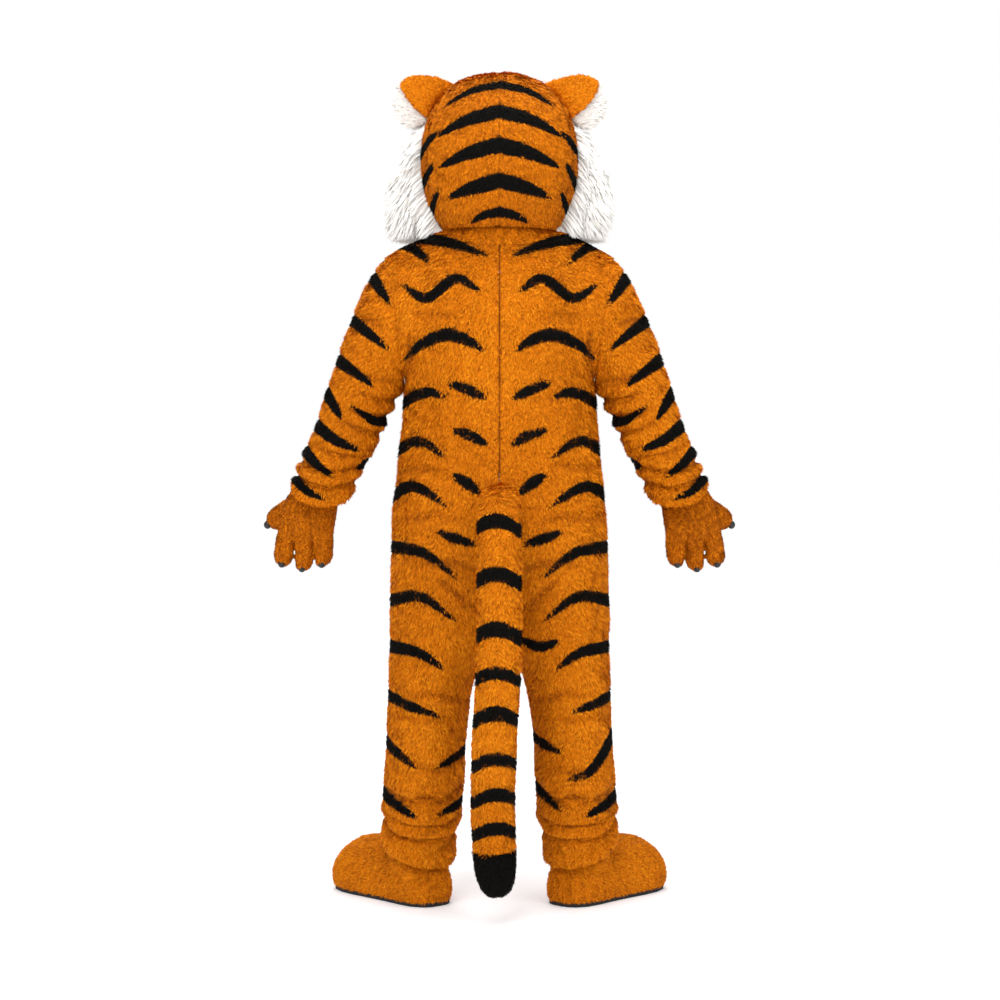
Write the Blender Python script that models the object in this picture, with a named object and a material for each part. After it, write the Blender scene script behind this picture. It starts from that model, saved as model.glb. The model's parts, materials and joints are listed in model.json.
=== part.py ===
"""A tiger mascot costume, filled out as it is worn, with no wearer: jumpsuit, tail, head, gloves and feet.

Metres, +Z up, facing -Y, with the wearer's left at +X.  Heights in the tables are above the floor, and the
origin is at the middle of the neck seam, where the wearer's shoulders hold the costume.  Every piece is built for
the wearer's left, and its mirror image makes the right one.
"""
import math

import bmesh
import bpy
import numpy as np

# Driving sizes
NECK = 1.458                 # the origin's height above the floor
CLOTH = 0.003                # plush backing with its pile pressed down
FOAM = 0.012                 # head wall: foam under plush
PAD = 0.005                  # glove and foot walls: plush, wadding and lining
GAP = 0.0003                 # between two pieces at a seam
SEAM_EASE = 0.001            # between rings whose walls lean differently
SPLAY = math.radians(40)     # how far each foot turns out
SHOULDER_STEPS = 7           # rows between the underarm and the shoulder seam
PANEL_COLUMNS = 7            # columns of a body panel, from its centre seam to its side seam
NECK_COLUMNS = 4             # how many of those end at the neck; the others end at the shoulder seam


def table(columns, *rows):
    """Rows of numbers under named columns."""
    names = columns.split()
    return [dict(zip(names, row)) for row in rows]


# The trunk's rings below the underarm: half width, and how far the back and the front stand out
TRUNK = table(
    "height  half_width  back   front",
    (1.138,  0.209,      0.150, 0.140),
    (1.100,  0.209,      0.150, 0.141),
    (1.048,  0.213,      0.149, 0.141),
    (0.999,  0.218,      0.152, 0.142),
    (0.932,  0.225,      0.160, 0.145),
    (0.888,  0.231,      0.166, 0.147),
    (0.830,  0.235,      0.169, 0.147),
    (0.772,  0.236,      0.167, 0.146),
    (0.690,  0.237,      0.156, 0.140),
    (0.585,  0.2395,     0.135, 0.130),
)
TRUNK_HEIGHTS = (1.050, 0.965, 0.945, 0.920, 0.860, 0.800, 0.740, 0.680, 0.625, 0.585)
SQUARENESS = 2.35            # 2 is an ellipse, more is squarer

# Centre back and centre front, from the underarm's height to the neck seam
SPINE = table(
    "rise   back_height  back    front_height  front",
    (0.00,  1.138,       0.150,  1.138,        0.140),
    (0.30,  1.225,       0.157,  1.215,        0.149),
    (0.60,  1.320,       0.158,  1.300,        0.147),
    (0.85,  1.398,       0.140,  1.370,        0.134),
    (1.00,  1.436,       0.114,  1.405,        0.117),
)
NECK_HALF_WIDTH = 0.158
NECK_SIDE_HEIGHT = 1.471
SHOULDER_BOW = 0.004         # how far the shoulder seam rises above a straight line

# One trouser leg's rings.  lean lifts the ring's side over the foot and lowers the side behind it.
CROTCH = 0.585
SEAT = 0.830                 # where the trunk's ring starts to part into two legs
LEG = table(
    "height  lean    centre_x  half_width  centre_y  half_depth",
    (0.585,  0.000,  0.1200,   0.1197,      0.004,    0.120),
    (0.555,  0.000,  0.1340,   0.1060,      0.004,    0.115),
    (0.517,  0.000,  0.1468,   0.0947,      0.005,    0.109),
    (0.466,  0.000,  0.1550,   0.0890,      0.006,    0.104),
    (0.400,  0.000,  0.1605,   0.0855,      0.008,    0.100),
    (0.330,  0.000,  0.1640,   0.0850,      0.010,    0.097),
    (0.260,  0.002,  0.1675,   0.0862,      0.010,    0.094),
    (0.222,  0.004,  0.1695,   0.0862,      0.009,    0.090),
    (0.192,  0.008,  0.1730,   0.0848,      0.007,    0.090),
    (0.166,  0.012,  0.1762,   0.0825,      0.005,    0.086),
    (0.146,  0.018,  0.1785,   0.0785,      0.003,    0.082),
    (0.130,  0.024,  0.1795,   0.0815,      0.002,    0.084),
    (0.114,  0.030,  0.1795,   0.0790,      0.002,    0.082),
)
LEG_HEIGHTS = (0.555, 0.517, 0.466, 0.400, 0.330, 0.260, 0.222, 0.192, 0.166, 0.146, 0.130, 0.114)

# One sleeve's rings, from the armhole to the cuff.  outer is the top or outer side, inner the underarm side.
# bow curves the armhole towards the neck, and dip lowers the back of the cuff over the glove.
SLEEVE = table(
    "along   outer_x  outer_height  inner_x  inner_height  centre_y  half_depth  bow    dip",
    (0.00,   0.252,   1.423,        0.209,   1.138,         0.000,    0.088,      0.008, 0.000),
    (0.10,   0.283,   1.385,        0.215,   1.133,         0.001,    0.088,      0.005, 0.000),
    (0.22,   0.3225,  1.299,        0.224,   1.118,         0.003,    0.086,      0.002, 0.000),
    (0.36,   0.3545,  1.208,        0.236,   1.094,         0.004,    0.083,      0.000, 0.000),
    (0.50,   0.3810,  1.124,        0.252,   1.061,         0.002,    0.078,      0.000, 0.002),
    (0.58,   0.3950,  1.083,        0.262,   1.040,         0.000,    0.073,      0.000, 0.004),
    (0.68,   0.4130,  1.035,        0.280,   1.003,         -0.006,   0.072,      0.000, 0.008),
    (0.80,   0.4355,  0.985,        0.301,   0.962,         -0.016,   0.069,      0.000, 0.016),
    (0.92,   0.4555,  0.942,        0.320,   0.928,         -0.027,   0.070,      0.000, 0.029),
    (1.00,   0.4640,  0.922,        0.3280,  0.908,         -0.031,   0.067,      0.000, 0.042),
)
SLEEVE_STATIONS = (0.00, 0.05, 0.14, 0.26, 0.38, 0.50, 0.59, 0.68, 0.78, 0.86, 0.93, 1.00)

# The collar band's rings, above the neck seam.  The last two are inside the head opening.
COLLAR = table(
    "side_height  back_height  front_height  half_width  back    front",
    (1.4720,      1.4370,      1.4060,       0.1580,     0.1140, 0.1170),
    (1.4750,      1.4570,      1.4360,       0.1400,     0.1110, 0.1150),
    (1.4780,      1.4740,      1.4680,       0.1240,     0.1030, 0.1080),
    (1.4860,      1.4860,      1.4860,       0.1050,     0.0900, 0.0960),
    (1.5150,      1.5150,      1.5150,       0.1030,     0.0880, 0.0940),
)

# The centre-back zip, flush with the plush
ZIP_HALF_WIDTH = 0.0018
ZIP_END = 0.945
ZIP_THICKNESS = 0.002

# The head's form: a squared ellipsoid about its middle, with its own reach each way
HEAD_MIDDLE = 1.645
HEAD_SQUARENESS = 2.2
HEAD_SIDE = 0.175
HEAD_BACK = 0.160
HEAD_FRONT = 0.168
HEAD_UP = 0.186
HEAD_DOWN = 0.214
HEAD_BOTTOM = 1.484
HEAD_ROWS = 12

# Points near the head's seams, from the neck edge to the brow; each is moved onto the form
CROWN_SEAM = table(
    "x       y        height",
    (0.0,    0.112,   1.484),
    (0.0,    0.150,   1.580),
    (0.0,    0.158,   1.660),
    (0.0,    0.135,   1.750),
    (0.0,    0.080,   1.810),
    (0.0,    0.000,   1.829),
    (0.0,    -0.075,  1.812),
    (0.0,    -0.130,  1.765),
)
GORE_SEAM = table(
    "x       y        height",
    (0.108,  0.050,   1.484),
    (0.140,  0.074,   1.560),
    (0.150,  0.078,   1.635),
    (0.134,  0.078,   1.722),
    (0.098,  0.050,   1.795),
    (0.086,  0.000,   1.812),
    (0.080,  -0.055,  1.802),
    (0.075,  -0.112,  1.766),
)
FACE_SEAM = table(
    "x       y        height",
    (0.106,  -0.062,  1.484),
    (0.142,  -0.084,  1.555),
    (0.154,  -0.085,  1.630),
    (0.150,  -0.075,  1.695),
    (0.137,  -0.064,  1.737),
    (0.122,  -0.068,  1.760),
    (0.102,  -0.090,  1.768),
    (0.080,  -0.114,  1.764),
)

# What lies on the face, as domes: their middles, their reach and how far they stand out in front
DOMES = table(
    "name        x       height  across  upright  stand_out  power",
    ("muzzle",   0.000,  1.596,  0.090,  0.046,   0.070,     0.50),
    ("chin",     0.000,  1.531,  0.056,  0.018,   0.034,     0.60),
    ("nose",     0.000,  1.618,  0.027,  0.015,   0.016,     0.60),
    ("eye_left", 0.066,  1.688,  0.024,  0.030,   0.014,     0.60),
)
DOME_EDGE = 0.002            # how thick a dome is at its outline
NOSE_EASE = 0.004            # between the nose and the round muzzle under it

# One ear: a cupped lobe standing out from the head's upper corner.  Each outline runs from its lower corner at the
# head, round the far end, to its upper corner; the white front shows past the orange back below.
EAR_BACK_OUTLINE = table(
    "x       height",
    (0.1660, 1.7400),
    (0.1900, 1.7600),
    (0.2100, 1.7880),
    (0.2200, 1.8120),
    (0.1900, 1.8290),
    (0.1500, 1.8230),
    (0.1120, 1.8090),
)
EAR_FRONT_OUTLINE = table(
    "x       height",
    (0.1680, 1.7230),
    (0.1950, 1.7140),
    (0.2250, 1.7380),
    (0.2340, 1.7750),
    (0.2210, 1.8130),
    (0.1900, 1.8300),
    (0.1120, 1.8100),
)
EAR_ROOT_LOW = (0.156, 1.733)     # x and height of the lobe's two corners on the head
EAR_ROOT_HIGH = (0.103, 1.808)
EAR_CUP = 1.2                # how sharply the lobe curves forward, per metre
EAR_THICKNESS = 0.010
EAR_EASE = 0.0015            # between the lobe's back and its front

# The long white cheek fur, as rings of its reach
CHEEK = table(
    "height  inner_x  outer_x  middle_y  half_depth",
    (1.712,  0.1720,  0.1840,  -0.035,   0.014),
    (1.690,  0.1760,  0.2030,  -0.037,   0.026),
    (1.645,  0.1780,  0.2230,  -0.040,   0.036),
    (1.595,  0.1780,  0.2310,  -0.042,   0.040),
    (1.545,  0.1730,  0.2280,  -0.044,   0.040),
    (1.505,  0.1620,  0.2150,  -0.046,   0.034),
    (1.485,  0.1640,  0.2020,  -0.048,   0.024),
    (1.478,  0.1720,  0.1900,  -0.048,   0.010),
)
CHEEK_SIDES = 10

# One glove.  The palm's rings run from the wrist inside the sleeve to the knuckles.
PALM = table(
    "x       y        height  half_width  half_depth",
    (0.393,  -0.032,  0.950,  0.046,      0.036),
    (0.408,  -0.036,  0.913,  0.052,      0.038),
    (0.423,  -0.039,  0.878,  0.059,      0.036),
    (0.430,  -0.041,  0.845,  0.061,      0.032),
    (0.434,  -0.043,  0.815,  0.060,      0.026),
    (0.435,  -0.044,  0.795,  0.052,      0.018),
)
# Each finger runs from inside the palm to its tip; the last row is the thumb
FINGERS = table(
    "root_x  root_y   root_height  tip_x   tip_y    tip_height  radius",
    (0.4730, -0.042,  0.8300,      0.4850, -0.050,  0.7560,     0.0205),
    (0.4330, -0.043,  0.8250,      0.4410, -0.052,  0.7460,     0.0210),
    (0.3930, -0.042,  0.8300,      0.3975, -0.050,  0.7560,     0.0210),
    (0.4400, -0.050,  0.8850,      0.5050, -0.066,  0.8430,     0.0240),
)
CLAW_LENGTH = 0.012
CLAW_RADIUS = 0.0065

# One foot, along its own length from behind the ankle to the toe
ANKLE = (0.1765, 0.004)
ANKLE_RADIUS = 0.064
ANKLE_TOP = 0.170
SOLE_THICKNESS = 0.009
SOLE_RIM = 0.002             # how far the sole stands out past the plush
FOOT = table(
    "station  half_width  top",
    (-0.068,  0.020,      0.045),
    (-0.060,  0.038,      0.078),
    (-0.036,  0.055,      0.100),
    (0.000,   0.062,      0.112),
    (0.050,   0.065,      0.124),
    (0.100,   0.071,      0.128),
    (0.150,   0.079,      0.126),
    (0.193,   0.081,      0.118),
    (0.229,   0.071,      0.098),
    (0.250,   0.050,      0.069),
    (0.260,   0.022,      0.042),
)
FOOT_BELLY = 0.3             # the widest height, as a share of the top
FOOT_SIDES = 10

# The tail's middle line and radius, from the seat seam to the tip
TAIL = table(
    "x        y       height  radius",
    (0.000,   0.1700, 0.8800, 0.0440),
    (0.000,   0.1950, 0.8780, 0.0455),
    (0.000,   0.2200, 0.8600, 0.0455),
    (0.000,   0.2350, 0.8250, 0.0450),
    (0.000,   0.2400, 0.7800, 0.0450),
    (0.000,   0.2420, 0.6900, 0.0455),
    (0.001,   0.2420, 0.5800, 0.0455),
    (0.006,   0.2410, 0.4600, 0.0455),
    (0.012,   0.2400, 0.3400, 0.0450),
    (0.0145,  0.2400, 0.2400, 0.0445),
    (0.0115,  0.2400, 0.1540, 0.0440),
    (0.0085,  0.2400, 0.1150, 0.0425),
    (0.0060,  0.2400, 0.0800, 0.0345),
    (0.0050,  0.2400, 0.0630, 0.0170),
)
TAIL_TIP_ROWS = 3            # how many of the last rows are the black tip
TAIL_SIDES = 12


# ---------------------------------------------------------------- tables and curves

def cubic(a, b, slope_a, slope_b, f):
    """A smooth step from a to b that leaves and arrives with the given slopes."""
    return ((2 * f**3 - 3 * f**2 + 1) * a + (f**3 - 2 * f**2 + f) * slope_a
            + (3 * f**2 - 2 * f**3) * b + (f**3 - f**2) * slope_b)


def section_at(rows, key, value):
    """All columns of a table at one value of its key column, on a smooth curve through the rows."""
    ordered = sorted(rows, key=lambda row: row[key])
    keys = np.array([row[key] for row in ordered])
    k = int(np.clip(np.searchsorted(keys, value) - 1, 0, len(keys) - 2))
    span = keys[k + 1] - keys[k]
    f = (value - keys[k]) / span
    section = {}
    for name in ordered[0]:
        column = np.array([row[name] for row in ordered])
        slopes = np.gradient(column, keys) * span
        section[name] = cubic(column[k], column[k + 1], slopes[k], slopes[k + 1], f)
    return section


def smooth_line(rows, count):
    """count points, evenly spread over the rows, on a smooth line through them."""
    numbered = [dict(row, number=float(i)) for i, row in enumerate(rows)]
    return [section_at(numbered, "number", v) for v in np.linspace(0, len(rows) - 1, count)]


def ease(f):
    """0 to 1 with a soft start and a soft stop."""
    f = min(max(f, 0.0), 1.0)
    return f * f * (3 - 2 * f)


def power(value, exponent):
    """A signed power, for squared ellipses."""
    return math.copysign(abs(value) ** exponent, value)


# ---------------------------------------------------------------- meshes

def unit(vectors):
    """Vectors of length one."""
    return vectors / np.maximum(np.linalg.norm(vectors, axis=-1, keepdims=True), 1e-12)


def grid_normals(grid, closed):
    """The normal at each point of a grid of rows and columns."""
    along = np.gradient(grid, axis=0)
    if closed:
        across = (np.roll(grid, -1, axis=1) - np.roll(grid, 1, axis=1)) / 2
    else:
        across = np.gradient(grid, axis=1)
    return unit(np.cross(along, across))


def wall(outer, inner, closed=False):
    """One closed solid between two grids of points.  A closed grid's last column joins its first."""
    rows, columns = outer.shape[:2]
    vertices = np.concatenate([outer.reshape(-1, 3), inner.reshape(-1, 3)])
    faces = []
    last = columns if closed else columns - 1
    for side in (0, 1):
        for i in range(rows - 1):
            for j in range(last):
                k = (j + 1) % columns
                corners = [i * columns + j, i * columns + k, (i + 1) * columns + k, (i + 1) * columns + j]
                faces.append([side * rows * columns + c for c in corners])
    border = [[(i, j) for j in range(columns)] for i in (0, rows - 1)]
    if not closed:
        border += [[(i, j) for i in range(rows)] for j in (0, columns - 1)]
    for line in border:
        pairs = list(zip(line, line[1:] + line[:1])) if closed else list(zip(line, line[1:]))
        for (i, j), (m, n) in pairs:
            a, b = i * columns + j, m * columns + n
            faces.append([a, b, rows * columns + b, rows * columns + a])
    return vertices, faces


def capped_tube(rings):
    """One closed solid through rings of points, with a flat cap at each end."""
    rings = np.array(rings)
    rows, sides = rings.shape[:2]
    faces = [[i * sides + j, i * sides + (j + 1) % sides, (i + 1) * sides + (j + 1) % sides, (i + 1) * sides + j]
             for i in range(rows - 1) for j in range(sides)]
    faces.append(list(range(sides)))
    faces.append([(rows - 1) * sides + j for j in range(sides)])
    return rings.reshape(-1, 3), faces


def new_mesh(name, vertices, faces):
    """A mesh of triangles, all facing out."""
    mesh = bpy.data.meshes.new(name)
    mesh.from_pydata([tuple(v) for v in vertices], [], faces)
    work = bmesh.new()
    work.from_mesh(mesh)
    bmesh.ops.remove_doubles(work, verts=work.verts, dist=0.00001)
    bmesh.ops.triangulate(work, faces=work.faces)
    bmesh.ops.recalc_face_normals(work, faces=work.faces)
    work.to_mesh(mesh)
    work.free()
    return mesh


def combined(first, second, operation):
    """The union or the difference of two solids, each given as vertices and faces."""
    pair = [bpy.data.objects.new("blank", new_mesh("blank", *solid)) for solid in (first, second)]
    for piece in pair:
        bpy.context.collection.objects.link(piece)
    modifier = pair[0].modifiers.new("cut", "BOOLEAN")
    modifier.operation = operation
    modifier.object = pair[1]
    evaluated = pair[0].evaluated_get(bpy.context.evaluated_depsgraph_get())
    mesh = evaluated.to_mesh()
    vertices = np.array([v.co[:] for v in mesh.vertices])
    faces = [list(p.vertices) for p in mesh.polygons]
    for piece in pair:
        bpy.data.objects.remove(piece)
    return vertices, faces


def place(name, solid, material):
    """One named object with its material, its heights moved to the origin at the neck."""
    vertices = np.array(solid[0]) - (0, 0, NECK)
    mesh = new_mesh(name, vertices, solid[1])
    mesh.materials.append(material)
    mesh.shade_smooth()
    mesh.set_sharp_from_angle(angle=math.radians(50))
    piece = bpy.data.objects.new(name, mesh)
    bpy.context.collection.objects.link(piece)
    return piece


def place_pair(name, solid, material):
    """The left piece and its mirror image; {} in the name takes the side."""
    vertices, faces = solid
    place(name.format("left"), solid, material)
    place(name.format("right"), (np.array(vertices) * (-1, 1, 1), faces), material)


def plush(name, colour, roughness):
    """A plain material of one colour."""
    material = bpy.data.materials.new(name)
    material.use_nodes = True
    shader = material.node_tree.nodes["Principled BSDF"]
    shader.inputs["Base Color"].default_value = (*colour, 1)
    shader.inputs["Roughness"].default_value = roughness
    shader.inputs["Metallic"].default_value = 0
    material.diffuse_color = (*colour, 1)
    return material


# ---------------------------------------------------------------- jumpsuit

def trunk_point(section, side, across):
    """A point of the trunk's ring; side is back or front, across runs from the centre seam to the side seam."""
    angle = math.pi / 2 * (1 - across)
    x = section["half_width"] * power(math.cos(angle), 2 / SQUARENESS)
    y = section[side] * power(math.sin(angle), 2 / SQUARENESS)
    return np.array([x, y if side == "back" else -y, section["height"]])


def leg_point(section, side, across):
    """A point of a leg's ring; across runs from the inseam to the side seam."""
    angle = math.pi * (1 - across)
    x = math.cos(angle)
    y = math.sin(angle) if side == "back" else -math.sin(angle)
    towards_toe = x * math.sin(SPLAY) - y * math.cos(SPLAY)
    return np.array([section["centre_x"] + section["half_width"] * x,
                     section["centre_y"] * math.sin(angle) + section["half_depth"] * y,
                     section["height"] + section["lean"] * towards_toe])


def sleeve_point(section, angle):
    """A point of a sleeve's ring: 0 is its top, 90 degrees its back, 180 the underarm."""
    share = (1 + math.cos(angle)) / 2
    x = section["inner_x"] + (section["outer_x"] - section["inner_x"]) * share - section["bow"] * math.sin(angle)**2
    height = section["inner_height"] + (section["outer_height"] - section["inner_height"]) * share
    return np.array([x, section["centre_y"] + section["half_depth"] * math.sin(angle),
                     height - section["dip"] * math.sin(angle)])


def neck_point(side, across):
    """A point of the neck seam, from its centre to the shoulder seam."""
    angle = math.pi / 2 * across
    end = SPINE[-1]
    height = end[side + "_height"] + (NECK_SIDE_HEIGHT - end[side + "_height"]) * math.sin(angle)**2
    y = end[side] * math.cos(angle)
    return np.array([NECK_HALF_WIDTH * math.sin(angle), y if side == "back" else -y, height])


def shoulder_top(side, across):
    """The upper edge of a body panel: the neck seam, then the shoulder seam."""
    neck_share = NECK_COLUMNS / PANEL_COLUMNS
    if across <= neck_share:
        return neck_point(side, across / neck_share)
    f = (across - neck_share) / (1 - neck_share)
    tip = sleeve_point(SLEEVE[0], 0)
    point = neck_point(side, 1) * (1 - f) + tip * f
    return point + (0, 0, SHOULDER_BOW * math.sin(math.pi * f))


def upper_point(side, rise, across):
    """A point between the underarm's ring and the shoulder, blended from the panel's four edges."""
    sign = 1 if side == "back" else -1

    def centre(f):
        row = section_at(SPINE, "rise", f)
        return np.array([0, row[side] * sign, row[side + "_height"]])

    def armhole(f):
        return sleeve_point(SLEEVE[0], sign * math.pi * (1 - f))

    low = trunk_point(TRUNK[0], side, across)
    high = shoulder_top(side, across)
    between_ends = (1 - rise) * low + rise * high
    between_sides = (1 - across) * centre(rise) + across * armhole(rise)
    corners = ((1 - rise) * ((1 - across) * centre(0) + across * armhole(0))
               + rise * ((1 - across) * centre(1) + across * armhole(1)))
    return between_ends + between_sides - corners


def body_rows(side):
    """The rows of a body panel from the shoulder down to the trouser hem."""
    columns = np.linspace(0, 1, PANEL_COLUMNS + 1)
    rows = [[upper_point(side, rise, u) for u in columns] for rise in np.linspace(1, 0, SHOULDER_STEPS + 1)]
    for height in TRUNK_HEIGHTS:
        trunk = section_at(TRUNK, "height", height)
        leg = dict(LEG[0], height=height)
        parting = ease((SEAT - height) / (SEAT - CROTCH))
        rows.append([(1 - parting) * trunk_point(trunk, side, u) + parting * leg_point(leg, side, u)
                     for u in columns])
    for height in LEG_HEIGHTS:
        leg = section_at(LEG, "height", height)
        rows.append([leg_point(leg, side, u) for u in columns])
    return np.array(rows)


def centre_edge(points):
    """How far a back panel stays off the middle: the zip's half width, and half a gap below the zip."""
    above = np.clip((points[..., 2] - ZIP_END) / 0.02 + 1, 0, 1)
    return GAP / 2 + above * (ZIP_HALF_WIDTH + GAP / 2)


def body_panel(side):
    """One quarter of the jumpsuit, shoulder to hem, kept on its own side of every seam."""
    outer = body_rows(side)
    outward = -grid_normals(outer, False) if side == "back" else grid_normals(outer, False)
    inner = outer - outward * CLOTH
    sign = 1 if side == "back" else -1
    for points in (outer, inner):
        edge = centre_edge(points) if side == "back" else GAP / 2
        points[..., 0] = np.maximum(points[..., 0], edge)
        points[..., 1] = sign * np.maximum(sign * points[..., 1], GAP / 2)
    return wall(outer, inner)


def back_zip():
    """The strip between the two back panels, from the collar to the tail."""
    rows = [(row["back"], row["height"]) for row in TRUNK if row["height"] > ZIP_END]
    spine = [section_at(SPINE, "rise", f) for f in np.linspace(0.125, 0.99, 8)]
    rows = rows[::-1] + [(row["back"], row["back_height"]) for row in spine]
    rows.insert(0, (section_at(TRUNK, "height", ZIP_END)["back"], ZIP_END))
    outer = np.array([[(x, y - GAP, height) for x in (-ZIP_HALF_WIDTH, ZIP_HALF_WIDTH)] for y, height in rows])
    inner = outer - (0, ZIP_THICKNESS, 0)
    return wall(outer, inner)


def sleeve():
    """One sleeve, an open tube from the armhole to the cuff."""
    angles = [2 * math.pi * j / (2 * SHOULDER_STEPS) for j in range(2 * SHOULDER_STEPS)]
    sections = [section_at(SLEEVE, "along", station) for station in SLEEVE_STATIONS]
    outer = np.array([[sleeve_point(section, angle) for angle in angles] for section in sections])
    outer[0, :, 0] += SEAM_EASE
    inner = outer - grid_normals(outer, True) * CLOTH
    inner[0, :, 0] = outer[0, :, 0]
    return wall(outer, inner, closed=True)


def collar():
    """The band between the neck seam and the head."""
    sides = 4 * NECK_COLUMNS
    rows = []
    for section in COLLAR:
        ring = []
        for j in range(sides):
            angle = 2 * math.pi * j / sides
            side = "back" if math.cos(angle) >= 0 else "front"
            middle = section[side + "_height"]
            height = middle + (section["side_height"] - middle) * math.sin(angle)**2
            ring.append((section["half_width"] * math.sin(angle), section[side] * math.cos(angle), height))
        rows.append(ring)
    outer = np.array(rows)
    inner = outer - grid_normals(outer, True) * CLOTH
    inner[0, :, 2] = outer[0, :, 2]
    return wall(outer, inner, closed=True)


# ---------------------------------------------------------------- tail

def tail_rings(rows):
    """Rings across the tail's middle line, the first one flat against the seat."""
    middle = np.array([(row["x"], row["y"], row["height"]) for row in TAIL])
    forward = unit(np.gradient(middle, axis=0))
    forward[0] = (0, 1, 0)
    rings = []
    for k in rows:
        sideways = unit(np.array([1.0, 0, 0]) - forward[k] * forward[k][0])
        upright = np.cross(sideways, forward[k])
        angles = [2 * math.pi * j / TAIL_SIDES for j in range(TAIL_SIDES)]
        rings.append([middle[k] + TAIL[k]["radius"] * (math.cos(a) * sideways + math.sin(a) * upright)
                      for a in angles])
    return rings


def tail_body():
    """The striped length, from the seat to the black tip."""
    return capped_tube(tail_rings(range(len(TAIL) - TAIL_TIP_ROWS)))


def tail_tip():
    """The stuffed black tip, a gap below the striped length."""
    rings = np.array(tail_rings(range(len(TAIL) - TAIL_TIP_ROWS - 1, len(TAIL))))
    rings[0, :, 2] -= GAP * 2
    return capped_tube(rings)


# ---------------------------------------------------------------- head

def head_reach(direction):
    """How far the head's form reaches from its middle in one direction."""
    x, y, z = direction
    shares = (x / HEAD_SIDE, y / (HEAD_BACK if y > 0 else HEAD_FRONT), z / (HEAD_UP if z > 0 else HEAD_DOWN))
    return sum(abs(share) ** HEAD_SQUARENESS for share in shares) ** (-1 / HEAD_SQUARENESS)


def on_head(points, height):
    """Points moved along lines from the head's middle until they stand at a height over its form."""
    middle = np.array([0, 0, HEAD_MIDDLE])
    directions = unit(np.array(points) - middle)
    flat = directions.reshape(-1, 3)
    levels = np.broadcast_to(height, flat.shape[:1]) if np.ndim(height) == 0 else np.array(height).reshape(-1)
    moved = [middle + d * (head_reach(d) + level) for d, level in zip(flat, levels)]
    return np.array(moved).reshape(directions.shape)


def at_neck_edge(points, inset):
    """Points moved in or out, level, until they are on the form where the neck opening cuts it."""
    left = 1 - ((HEAD_MIDDLE - HEAD_BOTTOM) / HEAD_DOWN) ** HEAD_SQUARENESS
    edge = []
    for x, y, _ in points:
        depth = HEAD_BACK if y > 0 else HEAD_FRONT
        used = abs(x / HEAD_SIDE) ** HEAD_SQUARENESS + abs(y / depth) ** HEAD_SQUARENESS
        scale = (left / used) ** (1 / HEAD_SQUARENESS) - inset / math.hypot(x, y)
        edge.append((x * scale, y * scale, HEAD_BOTTOM))
    return np.array(edge)


def seam_points(rows):
    """Evenly spread points on one of the head's seams."""
    return np.array([(p["x"], p["y"], p["height"]) for p in smooth_line(rows, HEAD_ROWS + 1)])


def head_panel(left, right, columns):
    """A foam and plush wall between two seams, with half a gap to each."""
    shares = np.linspace(0, 1, columns + 1)[None, :, None]
    between = on_head(left[:, None, :] * (1 - shares) + right[:, None, :] * shares, 0)
    step = unit(between[:, -1] - between[:, 0])
    between[:, 0] += step * GAP / 2 * 1.5
    between[:, -1] -= step * GAP / 2 * 1.5
    outer = on_head(between, 0)
    inner = on_head(between, -FOAM)
    outer[0], inner[0] = at_neck_edge(between[0], 0), at_neck_edge(between[0], FOAM)
    return wall(outer, inner)


def head_face():
    """The face between the two cheek seams, from the chin to the brow."""
    left = seam_points(FACE_SEAM)
    brow = seam_points(GORE_SEAM)[-1]
    shares = np.linspace(-1, 1, 9)
    rows = []
    for i, edge in enumerate(left):
        depth = -HEAD_FRONT if i < HEAD_ROWS else brow[1] - 0.018
        rows.append([(edge[0] * math.sin(math.pi / 2 * f), edge[1] + (depth - edge[1]) * math.cos(math.pi / 2 * f),
                      edge[2]) for f in shares])
    outer = on_head(rows, 0)
    step = unit(outer[:, -1] - outer[:, 0])
    outer[:, 0] += step * GAP
    outer[:, -1] -= step * GAP
    outer = on_head(outer, 0)
    inner = on_head(outer, -FOAM)
    outer[0], inner[0] = at_neck_edge(outer[0], 0), at_neck_edge(outer[0], FOAM)
    return wall(outer, inner)


def face_depth(x, height):
    """How far the head's form reaches forward at a place on the face."""
    rise = height - HEAD_MIDDLE
    reach = HEAD_UP if rise > 0 else HEAD_DOWN
    left = 1 - abs(x / HEAD_SIDE) ** HEAD_SQUARENESS - abs(rise / reach) ** HEAD_SQUARENESS
    return HEAD_FRONT * max(left, 0.001) ** (1 / HEAD_SQUARENESS)


def dome_rise(row, x, height):
    """How far a dome stands out at a place on the face: nothing outside its outline."""
    across = (x - row["x"]) / row["across"]
    upright = (height - row["height"]) / row["upright"]
    return row["stand_out"] * max(1 - across**2 - upright**2, 0) ** row["power"]


def dome(row, under=None, rings=4, sides=14):
    """A padded shape on the face: rings of points round its middle, moved out from what lies under it."""
    high, low = [], []
    for share in [(k + 0.6) / (rings + 0.3) for k in range(rings)] + [1.0]:
        for layer in (high, low):
            layer.append([])
        for angle in [2 * math.pi * j / sides for j in range(sides)]:
            x = row["x"] + row["across"] * share * math.cos(angle)
            height = row["height"] + row["upright"] * share * math.sin(angle)
            base = -face_depth(x, height) - (dome_rise(under, x, height) + NOSE_EASE if under else GAP * 5)
            low[-1].append((x, base, height))
            high[-1].append((x, base - DOME_EDGE - dome_rise(row, x, height), height))
    return capped_tube(high + low[::-1])


# ---------------------------------------------------------------- ears and cheek fur

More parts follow.
